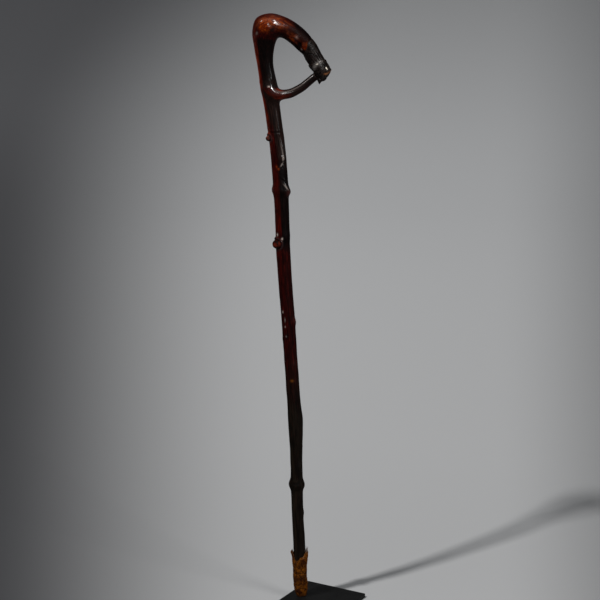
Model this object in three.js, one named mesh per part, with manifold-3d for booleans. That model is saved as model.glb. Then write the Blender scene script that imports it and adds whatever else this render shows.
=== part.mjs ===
// A natural-growth ceremonial staff on its display stand.
//
// The staff is one knotty stem whose top grows over into a hook. A side branch closes the
// hook into a hand loop. Dark hide covers the hook's end and binds it to the branch, and an
// ochre hide sleeve covers the foot. A steel pin in a square plate holds the staff upright.
//
// Millimetres, +Z up, +X to the side the hook opens to, +Y to the back. The origin is on the
// underside of the plate, right below the pin.

import * as THREE from 'three'
import { mergeVertices } from 'three/addons/utils/BufferGeometryUtils.js'
import Module from 'manifold-3d'

const wasm = await Module()
wasm.setup()

// Stand
const plateSide = 110
const plateThickness = 6
const plateCornerRadius = 2
const plateEdgeBevel = 0.6
const plateTurn = -30              // degrees, the plate is turned against the plane of the hook
const pinFromBackLeft = 21         // the pin stands off centre, towards the plate's back left edge
const pinFromBackRight = 59.5
const pinDiameter = 6
const pinReach = 55                // how far the pin stands up out of the plate
const pinSocketDepth = 4           // blind hole in the plate that the pin is pressed into
const pinPointLength = 3           // the tip is tapered, so that the staff finds its way
const pinTipShare = 0.45

// Fits
const seatGap = 0.3                // between pieces that rest on each other
const boreClearance = 0.3          // pin to the hole in the foot, on the radius
const boreEndRoom = 2              // room above the pin's tip

// Hide
const crookHideWall = 1.2
const jointHideWall = 1.3
const footHideWall = 1.9
const crookSleeveSpan = 4.4        // stations back from the hook's end to its upper edge
const crookSleeveShort = 0.15      // and to its lower edge
const jointWrapSpan = 1.85         // stations back to the raised band
const jointWrapFloor = 2.8         // hide that closes the wrap under the hook's end

// Shaft. Heights are shares of its length, measured from the foot's end. The middle line
// swings to the left by shares of the sweep, and thickness is a share of the nominal one.
const shaftLength = 860
const shaftSweep = 54.4            // how far the top of the shaft stands left of the pin
const shaftThickness = 22
const shaftStations = [
  // height, sweep, thickness
  [0, -0.014, 0.57],
  [0.016, 0.004, 0.8],
  [0.059, 0.028, 0.86],
  [0.104, 0.042, 0.88],
  [0.163, 0.091, 0.85],
  [0.21, 0.112, 0.88],
  [0.272, 0.128, 0.89],
  [0.33, 0.149, 1.03],
  [0.388, 0.206, 0.98],
  [0.456, 0.28, 0.965],
  [0.528, 0.353, 0.98],
  [0.6, 0.438, 0.98],
  [0.665, 0.5, 1.01],
  [0.73, 0.532, 1.03],
  [0.795, 0.579, 1.07],
  [0.859, 0.669, 1.09],
  [0.917, 0.794, 1.09],
  [0.964, 0.903, 1.15],
  [1, 1, 1.14],
]

// Hook, in hundredths of its reach from the top of the shaft's middle. Each station is where
// a section meets the hook's two outlines: outer x, outer z, inner x, inner z. The outer line
// is the hook's back, and the inner line is the inside of the hand loop.
const hookReach = 102
const hookStations = [
  [-15.9, 22.5, 13.7, 19.6],
  [-18.6, 45, 16.4, 30.3],
  [-12.4, 65.1, 19.5, 35.5],
  [7.7, 72.2, 22.9, 36.5],
  [28.7, 67.2, 28.3, 34.8],
  [48.8, 56.3, 38.2, 28],
  [65.3, 41.6, 48.8, 18.1],
  [75.7, 26.4, 57.5, 10.3],
  [84.8, 10, 64.5, 0.2],
  [93, -4.9, 70.6, -9.1],
  [95, -8.6, 72.2, -10.4],
]
const stemDepthShare = 0.96        // the stem is a little flatter from front to back
const stemSway = 1.4               // gentle wander of the shaft to the front and back
const stemSwayTurns = 2 * Math.PI

// Knots, scars and swellings of the shaft. height is a share of the shaft's length. side is
// the direction in degrees, 0 is +X and 90 is the back. reach is how far it stands out, and
// length and spread are half widths along and round the shaft.
const knots = [
  { height: 0.165, side: 0, reach: 1.2, length: 6, spread: 50 },
  { height: 0.22, side: 10, reach: 2.2, length: 5, spread: 400 },
  { height: 0.2285, side: 180, reach: 2.2, length: 5, spread: 400 },
  { height: 0.349, side: 0, reach: 1, length: 14, spread: 70 },
  { height: 0.532, side: 0, reach: 1.5, length: 6, spread: 50 },
  { height: 0.69, side: 300, reach: 1.6, length: 8, spread: 60 },
  { height: 0.773, side: 350, reach: 2.3, length: 7, spread: 400 },
  { height: 0.785, side: 305, reach: 1.6, length: 5, spread: 22 },
  { height: 0.82, side: 315, reach: -2, length: 4.5, spread: 26 },
  { height: 0.832, side: 305, reach: 1.8, length: 5, spread: 26 },
  { height: 0.85, side: 310, reach: 1.5, length: 12, spread: 20 },
  { height: 0.951, side: 285, reach: 2.5, length: 16, spread: 60 },
]

// Stubs of cut twigs, grown round. inset is how deep a stub's middle lies under the bark, as
// a share of its radius.
const buds = [
  { height: 0.6775, side: 216, radius: 7.4, inset: 0.4 },
  { height: 0.872, side: 200, radius: 4.6, inset: 0.6 },
]

// Brace branch, from inside the shaft to its tip, in hundredths of the hook's reach from the
// top of the shaft's middle: x, y, z, radius
const branchStations = [
  [-0.6, -2, -27.8, 8.3],
  [5.3, -7.8, -37.6, 8.1],
  [11.7, -9.8, -43.8, 7.6],
  [20, -9.3, -47, 7.2],
  [29.1, -7.4, -46.8, 7.1],
  [38, -5.4, -45.2, 6.8],
  [46.9, -3.4, -41.2, 6.4],
  [55.8, -2, -36.1, 6.2],
  [64.8, -1, -28.8, 6],
  [73.7, 0, -21.5, 5.8],
  [75.7, 0, -20, 5.4],
]
const branchTipRound = 1.6         // length of the rounded tip
const branchTipShare = 0.6         // its end face against the branch
const branchOuterHalf = 0.5        // from here to the tip the branch can meet the wraps

// Gathered tail of hide under the hook's end, each station written as the hook's are, but
// measured from the middle of the wrap's underside, less the gap there
const tailStations = [
  [14, 1, -14.2, -1.3],
  [11.4, -6, -12.6, -6],
  [8.1, -10.6, -9.9, -10.6],
  [3.8, -14.9, -7.5, -14.7],
  [-1.1, -16.6, -6.1, -17],
  [-3.6, -20, -4.4, -20.4],
]
const tailDepthShare = 0.82
const tailRings = 14

// Foot sleeve: how far the hide bulges off its wall, by height from the foot's end, the
// height of its top edge, and where that edge is torn or stands up
const footSleeveSlack = [
  [0.6, -0.4],
  [14, 0.2],
  [38, 0],
  [54, 0.5],
  [70, 0.9],
  [90, 1.4],
]
const footSleeveTop = 73
const footFlaps = [
  { side: 262, rise: -14, spread: 30 },   // V notch in front
  { side: 188, rise: 7, spread: 26 },     // pointed flap on the left
  { side: 345, rise: 3, spread: 24 },
  { side: 95, rise: 4, spread: 34 },
  { side: 130, rise: -5, spread: 18 },
]

// Fineness of the facets
const stemSides = 20
const stemRingStep = 6
const sleeveRingStep = 4
const branchSides = 14
const branchRingStep = 4
const sleeveSides = 28
const footSleeveRows = 14
const roundSides = 24
const budSides = 14

const radians = THREE.MathUtils.degToRad
const frontBack = new THREE.Vector3(0, 1, 0)

// A bump's weight, 1 at its middle and falling off smoothly to nothing
function falloff(distance, halfWidth) {
  return Math.exp(-((distance / halfWidth) ** 2))
}

function sideDistance(degrees, side) {
  return Math.abs(((degrees - side) % 360 + 540) % 360 - 180)
}

const shaftPart = ([height, sweep, thickness]) => {
  const middle = -shaftSweep * sweep
  const half = (shaftThickness * thickness) / 2
  return [middle - half, shaftLength * height, middle + half, shaftLength * height]
}
const hookPart = ([outerX, outerZ, innerX, innerZ]) => {
  const unit = hookReach / 100
  const place = (x, z) => [x * unit - shaftSweep, z * unit + shaftLength]
  return [...place(outerX, outerZ), ...place(innerX, innerZ)]
}
const tailPart = (station) => station.map((value) => (value * hookReach) / 100)
const branchPart = ([x, y, z, radius]) => {
  const unit = hookReach / 100
  return [x * unit - shaftSweep, y * unit, z * unit + shaftLength, radius * unit]
}

// The two outlines of a form whose sections span from one to the other
function railsOf(stations) {
  const outer = stations.map(([x, z]) => new THREE.Vector3(x, 0, z))
  const inner = stations.map(([, , x, z]) => new THREE.Vector3(x, 0, z))
  return {
    last: stations.length - 1,
    outer: new THREE.CatmullRomCurve3(outer, false, 'centripetal'),
    inner: new THREE.CatmullRomCurve3(inner, false, 'centripetal'),
  }
}

// One section: its middle, the way to the inner outline and its half width
function sectionAt(rails, station) {
  const share = THREE.MathUtils.clamp(station / rails.last, 0, 1)
  const outer = rails.outer.getPoint(share)
  const inner = rails.inner.getPoint(share)
  const across = inner.clone().sub(outer)
  const half = across.length() / 2
  return { middle: outer.lerp(inner, 0.5), across: across.normalize(), half }
}

const stemRails = railsOf([...shaftStations.map(shaftPart), ...hookStations.map(hookPart)])
const tailRails = railsOf(tailStations.map(tailPart))
const branch = branchStations.map(branchPart)
const hookBase = shaftStations.length - 1
const stemEnd = stemRails.last

function knotSwell(height, degrees) {
  return knots.reduce((sum, knot) => {
    const along = falloff(height - knot.height * shaftLength, knot.length)
    const around = falloff(sideDistance(degrees, knot.side), knot.spread)
    return sum + knot.reach * along * around
  }, 0)
}

function stemPoint(station, degrees, grow) {
  const { middle, across, half } = sectionAt(stemRails, station)
  const onShaft = station < hookBase
  const swell = onShaft ? knotSwell(middle.z, degrees) : 0
  const share = middle.z / shaftLength
  const sway = onShaft ? stemSway * Math.sin(share * Math.PI) * Math.sin(share * stemSwayTurns) : 0
  const reach = half + swell + grow
  const depth = half * stemDepthShare + swell + grow
  const angle = radians(degrees)
  return middle
    .addScaledVector(across, Math.cos(angle) * reach)
    .addScaledVector(frontBack, Math.sin(angle) * depth + sway)
}

// Station of the shaft at a height above the foot's end
function stationAtHeight(height) {
  let low = 0
  let high = hookBase
  for (let step = 0; step < 40; step += 1) {
    const middle = (low + high) / 2
    if (sectionAt(stemRails, middle).middle.z < height) low = middle
    else high = middle
  }
  return low
}

// Stations so far apart that rings lie one ring step from each other along the stem
function evenStations(from, to, step) {
  const fine = 400
  const lengths = [0]
  let before = sectionAt(stemRails, from).middle
  for (let i = 1; i <= fine; i += 1) {
    const now = sectionAt(stemRails, from + ((to - from) * i) / fine).middle
    lengths.push(lengths[i - 1] + now.distanceTo(before))
    before = now
  }
  const count = Math.max(2, Math.round(lengths[fine] / step))
  const stations = []
  let i = 0
  for (let ring = 0; ring <= count; ring += 1) {
    const target = (lengths[fine] * ring) / count
    while (i < fine && lengths[i + 1] < target) i += 1
    const part = (target - lengths[i]) / Math.max(1e-9, (lengths[i + 1] ?? lengths[i]) - lengths[i])
    stations.push(from + ((to - from) * Math.min(fine, i + Math.min(1, part))) / fine)
  }
  return stations
}

function anglesOf(sides) {
  return Array.from({ length: sides }, (_, side) => (360 * side) / sides)
}

// A closed solid through rings of points, each ring closed by a fan at the two ends
function loft(rings) {
  const sides = rings[0].length
  const positions = []
  const triangles = []
  for (const ring of rings) {
    for (const point of ring) positions.push(point.x, point.y, point.z)
  }
  for (let ring = 0; ring < rings.length - 1; ring += 1) {
    for (let side = 0; side < sides; side += 1) {
      const next = (side + 1) % sides
      const a = ring * sides + side
      const b = ring * sides + next
      const c = a + sides
      const d = b + sides
      triangles.push(a, b, c, b, d, c)
    }
  }
  const addCap = (ring, order) => {
    const middle = rings[ring].reduce((sum, point) => sum.add(point), new THREE.Vector3())
      .divideScalar(sides)
    const hub = positions.length / 3
    positions.push(middle.x, middle.y, middle.z)
    for (let side = 0; side < sides; side += 1) {
      const pair = [ring * sides + side, ring * sides + ((side + 1) % sides)]
      triangles.push(hub, pair[order], pair[1 - order])
    }
  }
  addCap(0, 1)
  addCap(rings.length - 1, 0)
  const geometry = new THREE.BufferGeometry()
  geometry.setAttribute('position', new THREE.Float32BufferAttribute(positions, 3))
  geometry.setIndex(triangles)
  return geometry
}

// Turns a closed geometry into a solid that can be joined and cut, faces outwards
function solidOf(geometry) {
  const bare = geometry.clone()
  bare.deleteAttribute('normal')
  bare.deleteAttribute('uv')
  const merged = mergeVertices(bare, 1e-4)
  const vertProperties = new Float32Array(merged.attributes.position.array)
  const triVerts = new Uint32Array(merged.index.array)
  if (signedVolume(vertProperties, triVerts) < 0) {
    for (let i = 0; i < triVerts.length; i += 3) {
      const second = triVerts[i + 1]
      triVerts[i + 1] = triVerts[i + 2]
      triVerts[i + 2] = second
    }
  }
  return new wasm.Manifold(new wasm.Mesh({ numProp: 3, vertProperties, triVerts }))
}

function signedVolume(positions, triangles) {
  const corner = (i) => new THREE.Vector3().fromArray(positions, 3 * triangles[i])
  let volume = 0
  for (let i = 0; i < triangles.length; i += 3) {
    volume += corner(i).dot(corner(i + 1).cross(corner(i + 2))) / 6
  }
  return volume
}

function geometryOf(solid) {
  const mesh = solid.getMesh()
  const geometry = new THREE.BufferGeometry()
  geometry.setAttribute('position', new THREE.Float32BufferAttribute(mesh.vertProperties, 3))
  geometry.setIndex(new THREE.Uint32BufferAttribute(mesh.triVerts, 1))
  const faceted = geometry.toNonIndexed()
  faceted.computeVertexNormals()
  return faceted
}

function meshOf(name, solid, material) {
  const mesh = new THREE.Mesh(geometryOf(solid), material)
  mesh.name = name
  return mesh
}

// The way the hook's end points
function endWay() {
  const before = sectionAt(stemRails, stemEnd - 1).middle
  return sectionAt(stemRails, stemEnd).middle.sub(before).normalize()
}

// Stem from one station to another, grown outwards and lengthened past its end
function stemSolid(from, to, grow, step = stemRingStep, lengthen = 0) {
  const angles = anglesOf(stemSides)
  const rings = evenStations(from, to, step).map((station) => (
    angles.map((degrees) => stemPoint(station, degrees, grow))
  ))
  if (lengthen > 0) {
    const way = endWay()
    rings.push(rings.at(-1).map((point) => point.clone().addScaledVector(way, lengthen)))
  }
  return solidOf(loft(rings))
}

// Brace branch as a round limb along its middle line
function branchSolid(grow, from = 0) {
  const points = branch.map(([x, y, z]) => new THREE.Vector3(x, y, z))
  const curve = new THREE.CatmullRomCurve3(points, false, 'centripetal')
  const last = branch.length - 1
  const count = Math.round((curve.getLength() * (1 - from)) / branchRingStep)
  const angles = anglesOf(branchSides)
  const rings = []
  for (let ring = 0; ring <= count; ring += 1) {
    const share = from + ((1 - from) * ring) / count
    const place = share * last
    const index = Math.min(last - 1, Math.floor(place))
    const radius = THREE.MathUtils.lerp(
      branch[index][3], branch[index + 1][3], place - index,
    ) + grow
    const middle = curve.getPoint(share)
    const way = curve.getTangent(share)
    const up = frontBack.clone().cross(way).normalize()
    const side = way.clone().cross(up).normalize()
    rings.push(angles.map((degrees) => middle.clone()
      .addScaledVector(up, Math.cos(radians(degrees)) * radius)
      .addScaledVector(side, Math.sin(radians(degrees)) * radius)))
  }
  const middle = curve.getPoint(1)
  const way = curve.getTangent(1)
  rings.push(rings.at(-1).map((point) => point.clone()
    .lerp(middle, 1 - branchTipShare)
    .addScaledVector(way, branchTipRound + grow)))
  return solidOf(loft(rings))
}

function pinBore() {
  const depth = pinReach + boreEndRoom
  const radius = pinDiameter / 2 + boreClearance
  const bore = new THREE.CylinderGeometry(radius, radius, 2 * depth, roundSides)
  bore.rotateX(Math.PI / 2)
  return solidOf(bore)
}

function budSolid({ height, side, radius, inset }) {
  const bark = stemPoint(stationAtHeight(height * shaftLength), side, -inset * radius)
  const bud = new THREE.SphereGeometry(radius, budSides, budSides / 2)
  bud.translate(bark.x, bark.y, bark.z)
  return solidOf(bud)
}

function makeStaffWood() {
  const stem = stemSolid(0, stemEnd, 0).add(branchSolid(0))
  return buds.reduce((solid, bud) => solid.add(budSolid(bud)), stem).subtract(pinBore())
}

// A tube of hide, so its inner form starts before it and ends past it
function makeCrookSleeve() {
  const start = stemEnd - crookSleeveSpan
  const end = stemEnd - crookSleeveShort
  const outside = stemSolid(start, end, seatGap + crookHideWall, sleeveRingStep)
  const inside = stemSolid(start - 1, stemEnd, seatGap, sleeveRingStep)
  return outside.subtract(inside)
}

// A cup of hide over the sleeve and the hook's end
function makeJointWrap() {
  const start = stemEnd - jointWrapSpan
  const wrapInside = seatGap + crookHideWall + seatGap
  const outside = stemSolid(start, stemEnd, wrapInside + jointHideWall, sleeveRingStep,
    seatGap + jointWrapFloor)
  const inside = stemSolid(start - 1, stemEnd, wrapInside, sleeveRingStep, seatGap)
  return outside.subtract(inside).subtract(branchSolid(seatGap, branchOuterHalf))
}

function makeTailWrap() {
  const angles = anglesOf(sleeveSides)
  const top = sectionAt(stemRails, stemEnd).middle
    .addScaledVector(endWay(), seatGap + jointWrapFloor)
  top.z -= seatGap
  const rings = []
  for (let ring = 0; ring <= tailRings; ring += 1) {
    const { middle, across, half } = sectionAt(tailRails, (tailRails.last * ring) / tailRings)
    rings.push(angles.map((degrees) => middle.clone().add(top)
      .addScaledVector(across, Math.cos(radians(degrees)) * half)
      .addScaledVector(frontBack, Math.sin(radians(degrees)) * half * tailDepthShare)))
  }
  return solidOf(loft(rings)).subtract(branchSolid(seatGap, branchOuterHalf))
}

function slackAt(height) {
  const last = footSleeveSlack.length - 2
  const found = footSleeveSlack.findIndex(([above]) => above > height) - 1
  const index = found < 0 ? last : Math.min(found, last)
  const [low, lowSlack] = footSleeveSlack[index]
  const [high, highSlack] = footSleeveSlack[index + 1]
  return THREE.MathUtils.mapLinear(height, low, high, lowSlack, highSlack)
}

function footSleeveEdge(degrees) {
  return footFlaps.reduce(
    (edge, flap) => edge + flap.rise * falloff(sideDistance(degrees, flap.side), flap.spread),
    footSleeveTop,
  )
}

// A row of points round the sleeve, a share of the way from its hem to its ragged top edge.
// The slack is how far the hide stands off its least wall.
function footSleeveRow(share, grow, slackShare) {
  const hem = footSleeveSlack[0][0]
  return anglesOf(sleeveSides).map((degrees) => {
    const height = hem + (footSleeveEdge(degrees) - hem) * share
    const slack = slackShare * slackAt(height)
    return stemPoint(stationAtHeight(height), degrees, grow + slack)
  })
}

// One tube of hide: up the outside from the hem to the top edge and down the inside
function makeFootSleeve() {
  const outside = []
  const inside = []
  for (let row = 0; row <= footSleeveRows; row += 1) {
    outside.push(footSleeveRow(row / footSleeveRows, seatGap + footHideWall, 1))
    inside.unshift(footSleeveRow(row / footSleeveRows, seatGap, 0))
  }
  return solidOf(ringTube([...outside, ...inside]))
}

// A closed tube through rings that come back to the first one
function ringTube(rings) {
  const sides = rings[0].length
  const positions = []
  const triangles = []
  for (const ring of rings) {
    for (const point of ring) positions.push(point.x, point.y, point.z)
  }
  for (let ring = 0; ring < rings.length; ring += 1) {
    const above = (ring + 1) % rings.length
    for (let side = 0; side < sides; side += 1) {
      const next = (side + 1) % sides
      const a = ring * sides + side
      const b = ring * sides + next
      const c = above * sides + side
      const d = above * sides + next
      triangles.push(a, b, c, b, d, c)
    }
  }
  const geometry = new THREE.BufferGeometry()
  geometry.setAttribute('position', new THREE.Float32BufferAttribute(positions, 3))
  geometry.setIndex(triangles)
  return geometry
}

function makeBasePlate() {
  const half = plateSide / 2 - plateEdgeBevel
  const corner = plateCornerRadius
  const outline = new THREE.Shape()
  outline.moveTo(-half + corner, -half)
  outline.lineTo(half - corner, -half)
  outline.absarc(half - corner, -half + corner, corner, -Math.PI / 2, 0)
  outline.absarc(half - corner, half - corner, corner, 0, Math.PI / 2)
  outline.absarc(-half + corner, half - corner, corner, Math.PI / 2, Math.PI)
  outline.absarc(-half + corner, -half + corner, corner, Math.PI, Math.PI * 1.5)
  const geometry = new THREE.ExtrudeGeometry(outline, {
    depth: plateThickness - 2 * plateEdgeBevel,
    curveSegments: 6,
    bevelEnabled: true,
    bevelSegments: 2,
    bevelSize: plateEdgeBevel,
    bevelThickness: plateEdgeBevel,
  })
  geometry.translate(0, 0, plateEdgeBevel)
  geometry.translate(plateSide / 2 - pinFromBackLeft, pinFromBackRight - plateSide / 2, 0)
  geometry.rotateZ(radians(plateTurn))
  const radius = pinDiameter / 2 + seatGap
  const socket = new THREE.CylinderGeometry(radius, radius, 2 * pinSocketDepth, roundSides)
  socket.rotateX(Math.PI / 2)
  socket.translate(0, 0, plateThickness)
  return solidOf(geometry).subtract(solidOf(socket))
}

function makeSupportPin() {
  const foot = plateThickness - pinSocketDepth + seatGap
  const tip = plateThickness + pinReach
  const radius = pinDiameter / 2
  const profile = [
    new THREE.Vector2(0, foot),
    new THREE.Vector2(radius, foot),
    new THREE.Vector2(radius, tip - pinPointLength),
    new THREE.Vector2(radius * pinTipShare, tip),
    new THREE.Vector2(0, tip),
  ]
  const pin = new THREE.LatheGeometry(profile, roundSides)
  pin.rotateX(Math.PI / 2)
  return solidOf(pin)
}

const wood = new THREE.MeshStandardMaterial({ color: 0x4a2415, roughness: 0.38, metalness: 0 })
const darkHide = new THREE.MeshStandardMaterial({ color: 0x2b2724, roughness: 0.42, metalness: 0 })
const ochreHide = new THREE.MeshStandardMaterial({ color: 0x9a6a2c, roughness: 0.85, metalness: 0 })
const blackSteel = new THREE.MeshStandardMaterial({ color: 0x191919, roughness: 0.5, metalness: 0.4 })
const brightSteel = new THREE.MeshStandardMaterial({ color: 0x4c4c4e, roughness: 0.4, metalness: 0.9 })

const stand = new THREE.Group()
stand.add(meshOf('base_plate', makeBasePlate(), blackSteel))
stand.add(meshOf('support_pin', makeSupportPin(), brightSteel))

const staff = new THREE.Group()
staff.position.z = plateThickness + seatGap
staff.add(meshOf('staff_wood', makeStaffWood(), wood))
staff.add(meshOf('crook_sleeve', makeCrookSleeve(), darkHide))
staff.add(meshOf('joint_wrap', makeJointWrap(), darkHide))
staff.add(meshOf('tail_wrap', makeTailWrap(), darkHide))
staff.add(meshOf('foot_sleeve', makeFootSleeve(), ochreHide))

const part = new THREE.Group()
part.add(stand, staff)

export default part
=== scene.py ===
# %% [markdown]
# A natural-growth ceremonial staff on its display stand.
#
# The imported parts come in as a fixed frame: a square plate and a pin on the body "stand", and
# the wood with its four pieces of hide on the body "staff", which lifts off the pin. This
# lesson gives the grown wood its knots, polish and colour, winds the hide in loose layers, and
# lights the whole on a pale floor. Everything is in metres, with +X to the side the hook opens
# to and +Y to the back.

# %% Load the frame
import math

import bmesh
import bpy
import numpy as np
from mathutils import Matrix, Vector, noise
from mathutils.bvhtree import BVHTree
from mathutils.kdtree import KDTree


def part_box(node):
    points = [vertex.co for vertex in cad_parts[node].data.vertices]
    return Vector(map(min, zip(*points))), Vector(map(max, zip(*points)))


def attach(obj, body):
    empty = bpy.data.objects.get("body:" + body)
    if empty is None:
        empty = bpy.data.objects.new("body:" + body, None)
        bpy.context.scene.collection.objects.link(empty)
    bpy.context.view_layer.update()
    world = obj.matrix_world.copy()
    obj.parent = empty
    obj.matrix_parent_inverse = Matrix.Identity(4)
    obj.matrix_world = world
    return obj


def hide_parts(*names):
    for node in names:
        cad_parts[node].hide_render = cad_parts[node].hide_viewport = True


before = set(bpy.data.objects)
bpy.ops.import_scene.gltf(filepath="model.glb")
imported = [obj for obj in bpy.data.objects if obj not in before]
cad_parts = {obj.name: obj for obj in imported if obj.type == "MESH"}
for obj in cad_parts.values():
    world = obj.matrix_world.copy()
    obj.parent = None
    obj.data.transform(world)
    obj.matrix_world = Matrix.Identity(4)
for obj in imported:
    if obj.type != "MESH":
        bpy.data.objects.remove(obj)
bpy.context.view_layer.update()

MM = 0.001

# %% [markdown]
# The camera stands in front, level with the hook, and looks down at a slant of 11 degrees, so
# the staff's foot and the plate show at the bottom of the square picture. A long lens keeps
# the slim staff free of distortion. Its place follows from the pin, which the picture shows
# 0.7 of a pixel right of the middle and 295 pixels below it.

# %% Camera
IMAGE_SIZE = 600
FOCAL_PIXELS = 1400
SENSOR_WIDTH = 36
CAMERA_PITCH = math.radians(11)
CAMERA_PLACE = Vector((-0.0011, -2.1582, 0.918))

camera = bpy.data.objects.new("camera", bpy.data.cameras.new("camera"))
camera.data.sensor_width = SENSOR_WIDTH
camera.data.lens = SENSOR_WIDTH * FOCAL_PIXELS / IMAGE_SIZE
camera.location = CAMERA_PLACE
camera.rotation_euler = (math.pi / 2 - CAMERA_PITCH, 0, 0)
bpy.context.scene.collection.objects.link(camera)
bpy.context.scene.camera = camera
bpy.context.scene.view_settings.view_transform = "Standard"
print("camera:", round(camera.data.lens, 1), "mm lens at", np.round(CAMERA_PLACE, 3).tolist())

# %% [markdown]
# Shader maths reads best as plain formulas. Each Math node could be made and linked by hand, but
# then one formula fills a page. The class Value wraps the output of a node instead, and the usual
# signs on it add Math nodes, so that 1 - mask or noise * 2 can be written down.

# %% Shader maths as formulas


class Value:
    """A number that changes over the surface. Signs such as + and * add Math nodes."""

    def __init__(self, finish, socket):
        self.finish = finish
        self.socket = socket

    def math(self, operation, first, second):
        made = self.finish.node("ShaderNodeMath", {"operation": operation}, {0: first, 1: second})
        return Value(self.finish, made.outputs[0])

    def __add__(self, other):
        return self.math("ADD", self, other)

    def __sub__(self, other):
        return self.math("SUBTRACT", self, other)

    def __rsub__(self, other):
        return self.math("SUBTRACT", other, self)

    def __mul__(self, other):
        return self.math("MULTIPLY", self, other)

    def __truediv__(self, other):
        return self.math("DIVIDE", self, other)

    __radd__ = __add__
    __rmul__ = __mul__

    def above(self, low, high):
        """0 below low, 1 above high, and a smooth step between them."""
        made = self.finish.node("ShaderNodeMapRange", {"interpolation_type": "SMOOTHSTEP"}, {
            "Value": self, "From Min": low, "From Max": high, "To Min": 0.0, "To Max": 1.0})
        return Value(self.finish, made.outputs["Result"])

    def clamped(self):
        made = self.finish.node("ShaderNodeClamp", {}, {"Value": self})
        return Value(self.finish, made.outputs[0])

# %% [markdown]
# A finish is one material. All its nodes come from one method that takes a type, settings and
# sockets, and the few patterns that this staff needs have short names of their own. Colours are
# written as a picture's numbers, and turned into the linear ones that shaders work with.

# %% Helpers for materials


class Finish:
    """One material and the nodes that make it."""

    def __init__(self, name):
        self.material = bpy.data.materials.new(name)
        self.material.use_nodes = True
        self.tree = self.material.node_tree
        self.tree.nodes.clear()

    def plug(self, value, socket):
        if isinstance(value, Value):
            self.tree.links.new(value.socket, socket)
        elif isinstance(value, bpy.types.NodeSocket):
            self.tree.links.new(value, socket)
        else:
            socket.default_value = value

    def node(self, kind, settings, sockets):
        made = self.tree.nodes.new(kind)
        for name, setting in settings.items():
            setattr(made, name, setting)
        for name, value in sockets.items():
            self.plug(value, made.inputs[name])
        return made

    def place(self):
        """The place of each point on its object, in metres, by which patterns are laid out."""
        return self.node("ShaderNodeTexCoord", {}, {}).outputs["Object"]

    def axes(self):
        """The same place as three numbers: to the right, to the back and up."""
        parts = self.node("ShaderNodeSeparateXYZ", {}, {"Vector": self.place()}).outputs
        return [Value(self, part) for part in parts]

    def stored(self, name):
        """What the mesh stores on its points under a name: a vector or a number."""
        return self.node("ShaderNodeAttribute", {"attribute_name": name}, {}).outputs

    def painted(self, *names):
        values = [Value(self, self.stored(name)["Fac"]) for name in names]
        return values if len(values) > 1 else values[0]

    def scaled(self, vector, scale):
        made = self.node("ShaderNodeVectorMath", {"operation": "MULTIPLY"}, {0: vector, 1: scale})
        return made.outputs[0]

    def noise(self, vector, scale, detail=4.0, roughness=0.55, distortion=0.0):
        made = self.node("ShaderNodeTexNoise", {}, {
            "Vector": vector, "Scale": scale, "Detail": detail, "Roughness": roughness,
            "Distortion": distortion})
        return Value(self, made.outputs["Fac"])

    def cells(self, vector, scale):
        made = self.node("ShaderNodeTexVoronoi", {}, {"Vector": vector, "Scale": scale})
        return Value(self, made.outputs["Distance"])

    def mix(self, share, first, second):
        made = self.node("ShaderNodeMix", {"data_type": "RGBA"}, {0: share, 6: first, 7: second})
        return made.outputs[2]

    def layered(self, base, layers):
        """A colour with others laid over it in turn, each as strong as its share from 0 to 1."""
        for share, colour in layers:
            base = self.mix(share, base, colour)
        return base

    def bump(self, height, distance, strength, before=None):
        sockets = {"Height": height, "Distance": distance, "Strength": strength}
        if before is not None:
            sockets["Normal"] = before
        return self.node("ShaderNodeBump", {}, sockets).outputs[0]

    def surface(self, sockets):
        shader = self.node("ShaderNodeBsdfPrincipled", {}, sockets)
        self.node("ShaderNodeOutputMaterial", {}, {"Surface": shader.outputs[0]})
        return self.material


def paint(red, green, blue):
    """A colour from the 0 to 255 numbers of a picture, as the linear one that shaders use."""
    parts = [v / 255 for v in (red, green, blue)]
    linear = [v / 12.92 if v <= 0.04045 else ((v + 0.055) / 1.055) ** 2.4 for v in parts]
    return (*linear, 1.0)


print("a middle grey of 128 is", round(paint(128, 128, 128)[0], 3), "as a linear colour")

# %% [markdown]
# Nearly every shape here is a stack of rings of points with faces between them. Modifiers could
# bend a plain cylinder too, but with rings each point can be set by a rule. The faces are turned
# outwards, because a boolean has to tell the inside from the outside, and shaded smooth.

# %% Helpers for meshes


def shade_smooth(mesh):
    mesh.polygons.foreach_set("use_smooth", [True] * len(mesh.polygons))


def wall_faces(count, sides, rows):
    """Faces between rings of points, for so many rows. The ring after the last is the first."""
    faces = []
    for ring in range(rows):
        low, high = ring * sides, (ring + 1) % count * sides
        for side in range(sides):
            after = (side + 1) % sides
            faces.append((low + side, low + after, high + after, high + side))
    return faces


def mesh_of(name, points, faces):
    """A mesh with its faces turned outwards and shaded smooth."""
    mesh = bpy.data.meshes.new(name)
    mesh.from_pydata(points, [], faces)
    bm = bmesh.new()
    bm.from_mesh(mesh)
    bmesh.ops.recalc_face_normals(bm, faces=bm.faces)
    bm.to_mesh(mesh)
    bm.free()
    shade_smooth(mesh)
    return mesh


def mesh_from_rings(name, rings):
    """A closed mesh through rings of points, with a fan at each end."""
    count, sides = rings.shape[:2]
    points = rings.reshape(-1, 3).tolist()
    points += [rings[0].mean(axis=0).tolist(), rings[-1].mean(axis=0).tolist()]
    first_hub, last_hub = count * sides, count * sides + 1
    top = (count - 1) * sides
    faces = wall_faces(count, sides, count - 1)
    for side in range(sides):
        after = (side + 1) % sides
        faces.append((first_hub, after, side))
        faces.append((last_hub, top + side, top + after))
    return mesh_of(name, points, faces)


def tube_mesh(name, rings):
    """A closed tube through rings of points that come back to the first one."""
    count, sides = rings.shape[:2]
    return mesh_of(name, rings.reshape(-1, 3).tolist(), wall_faces(count, sides, count))


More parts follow.
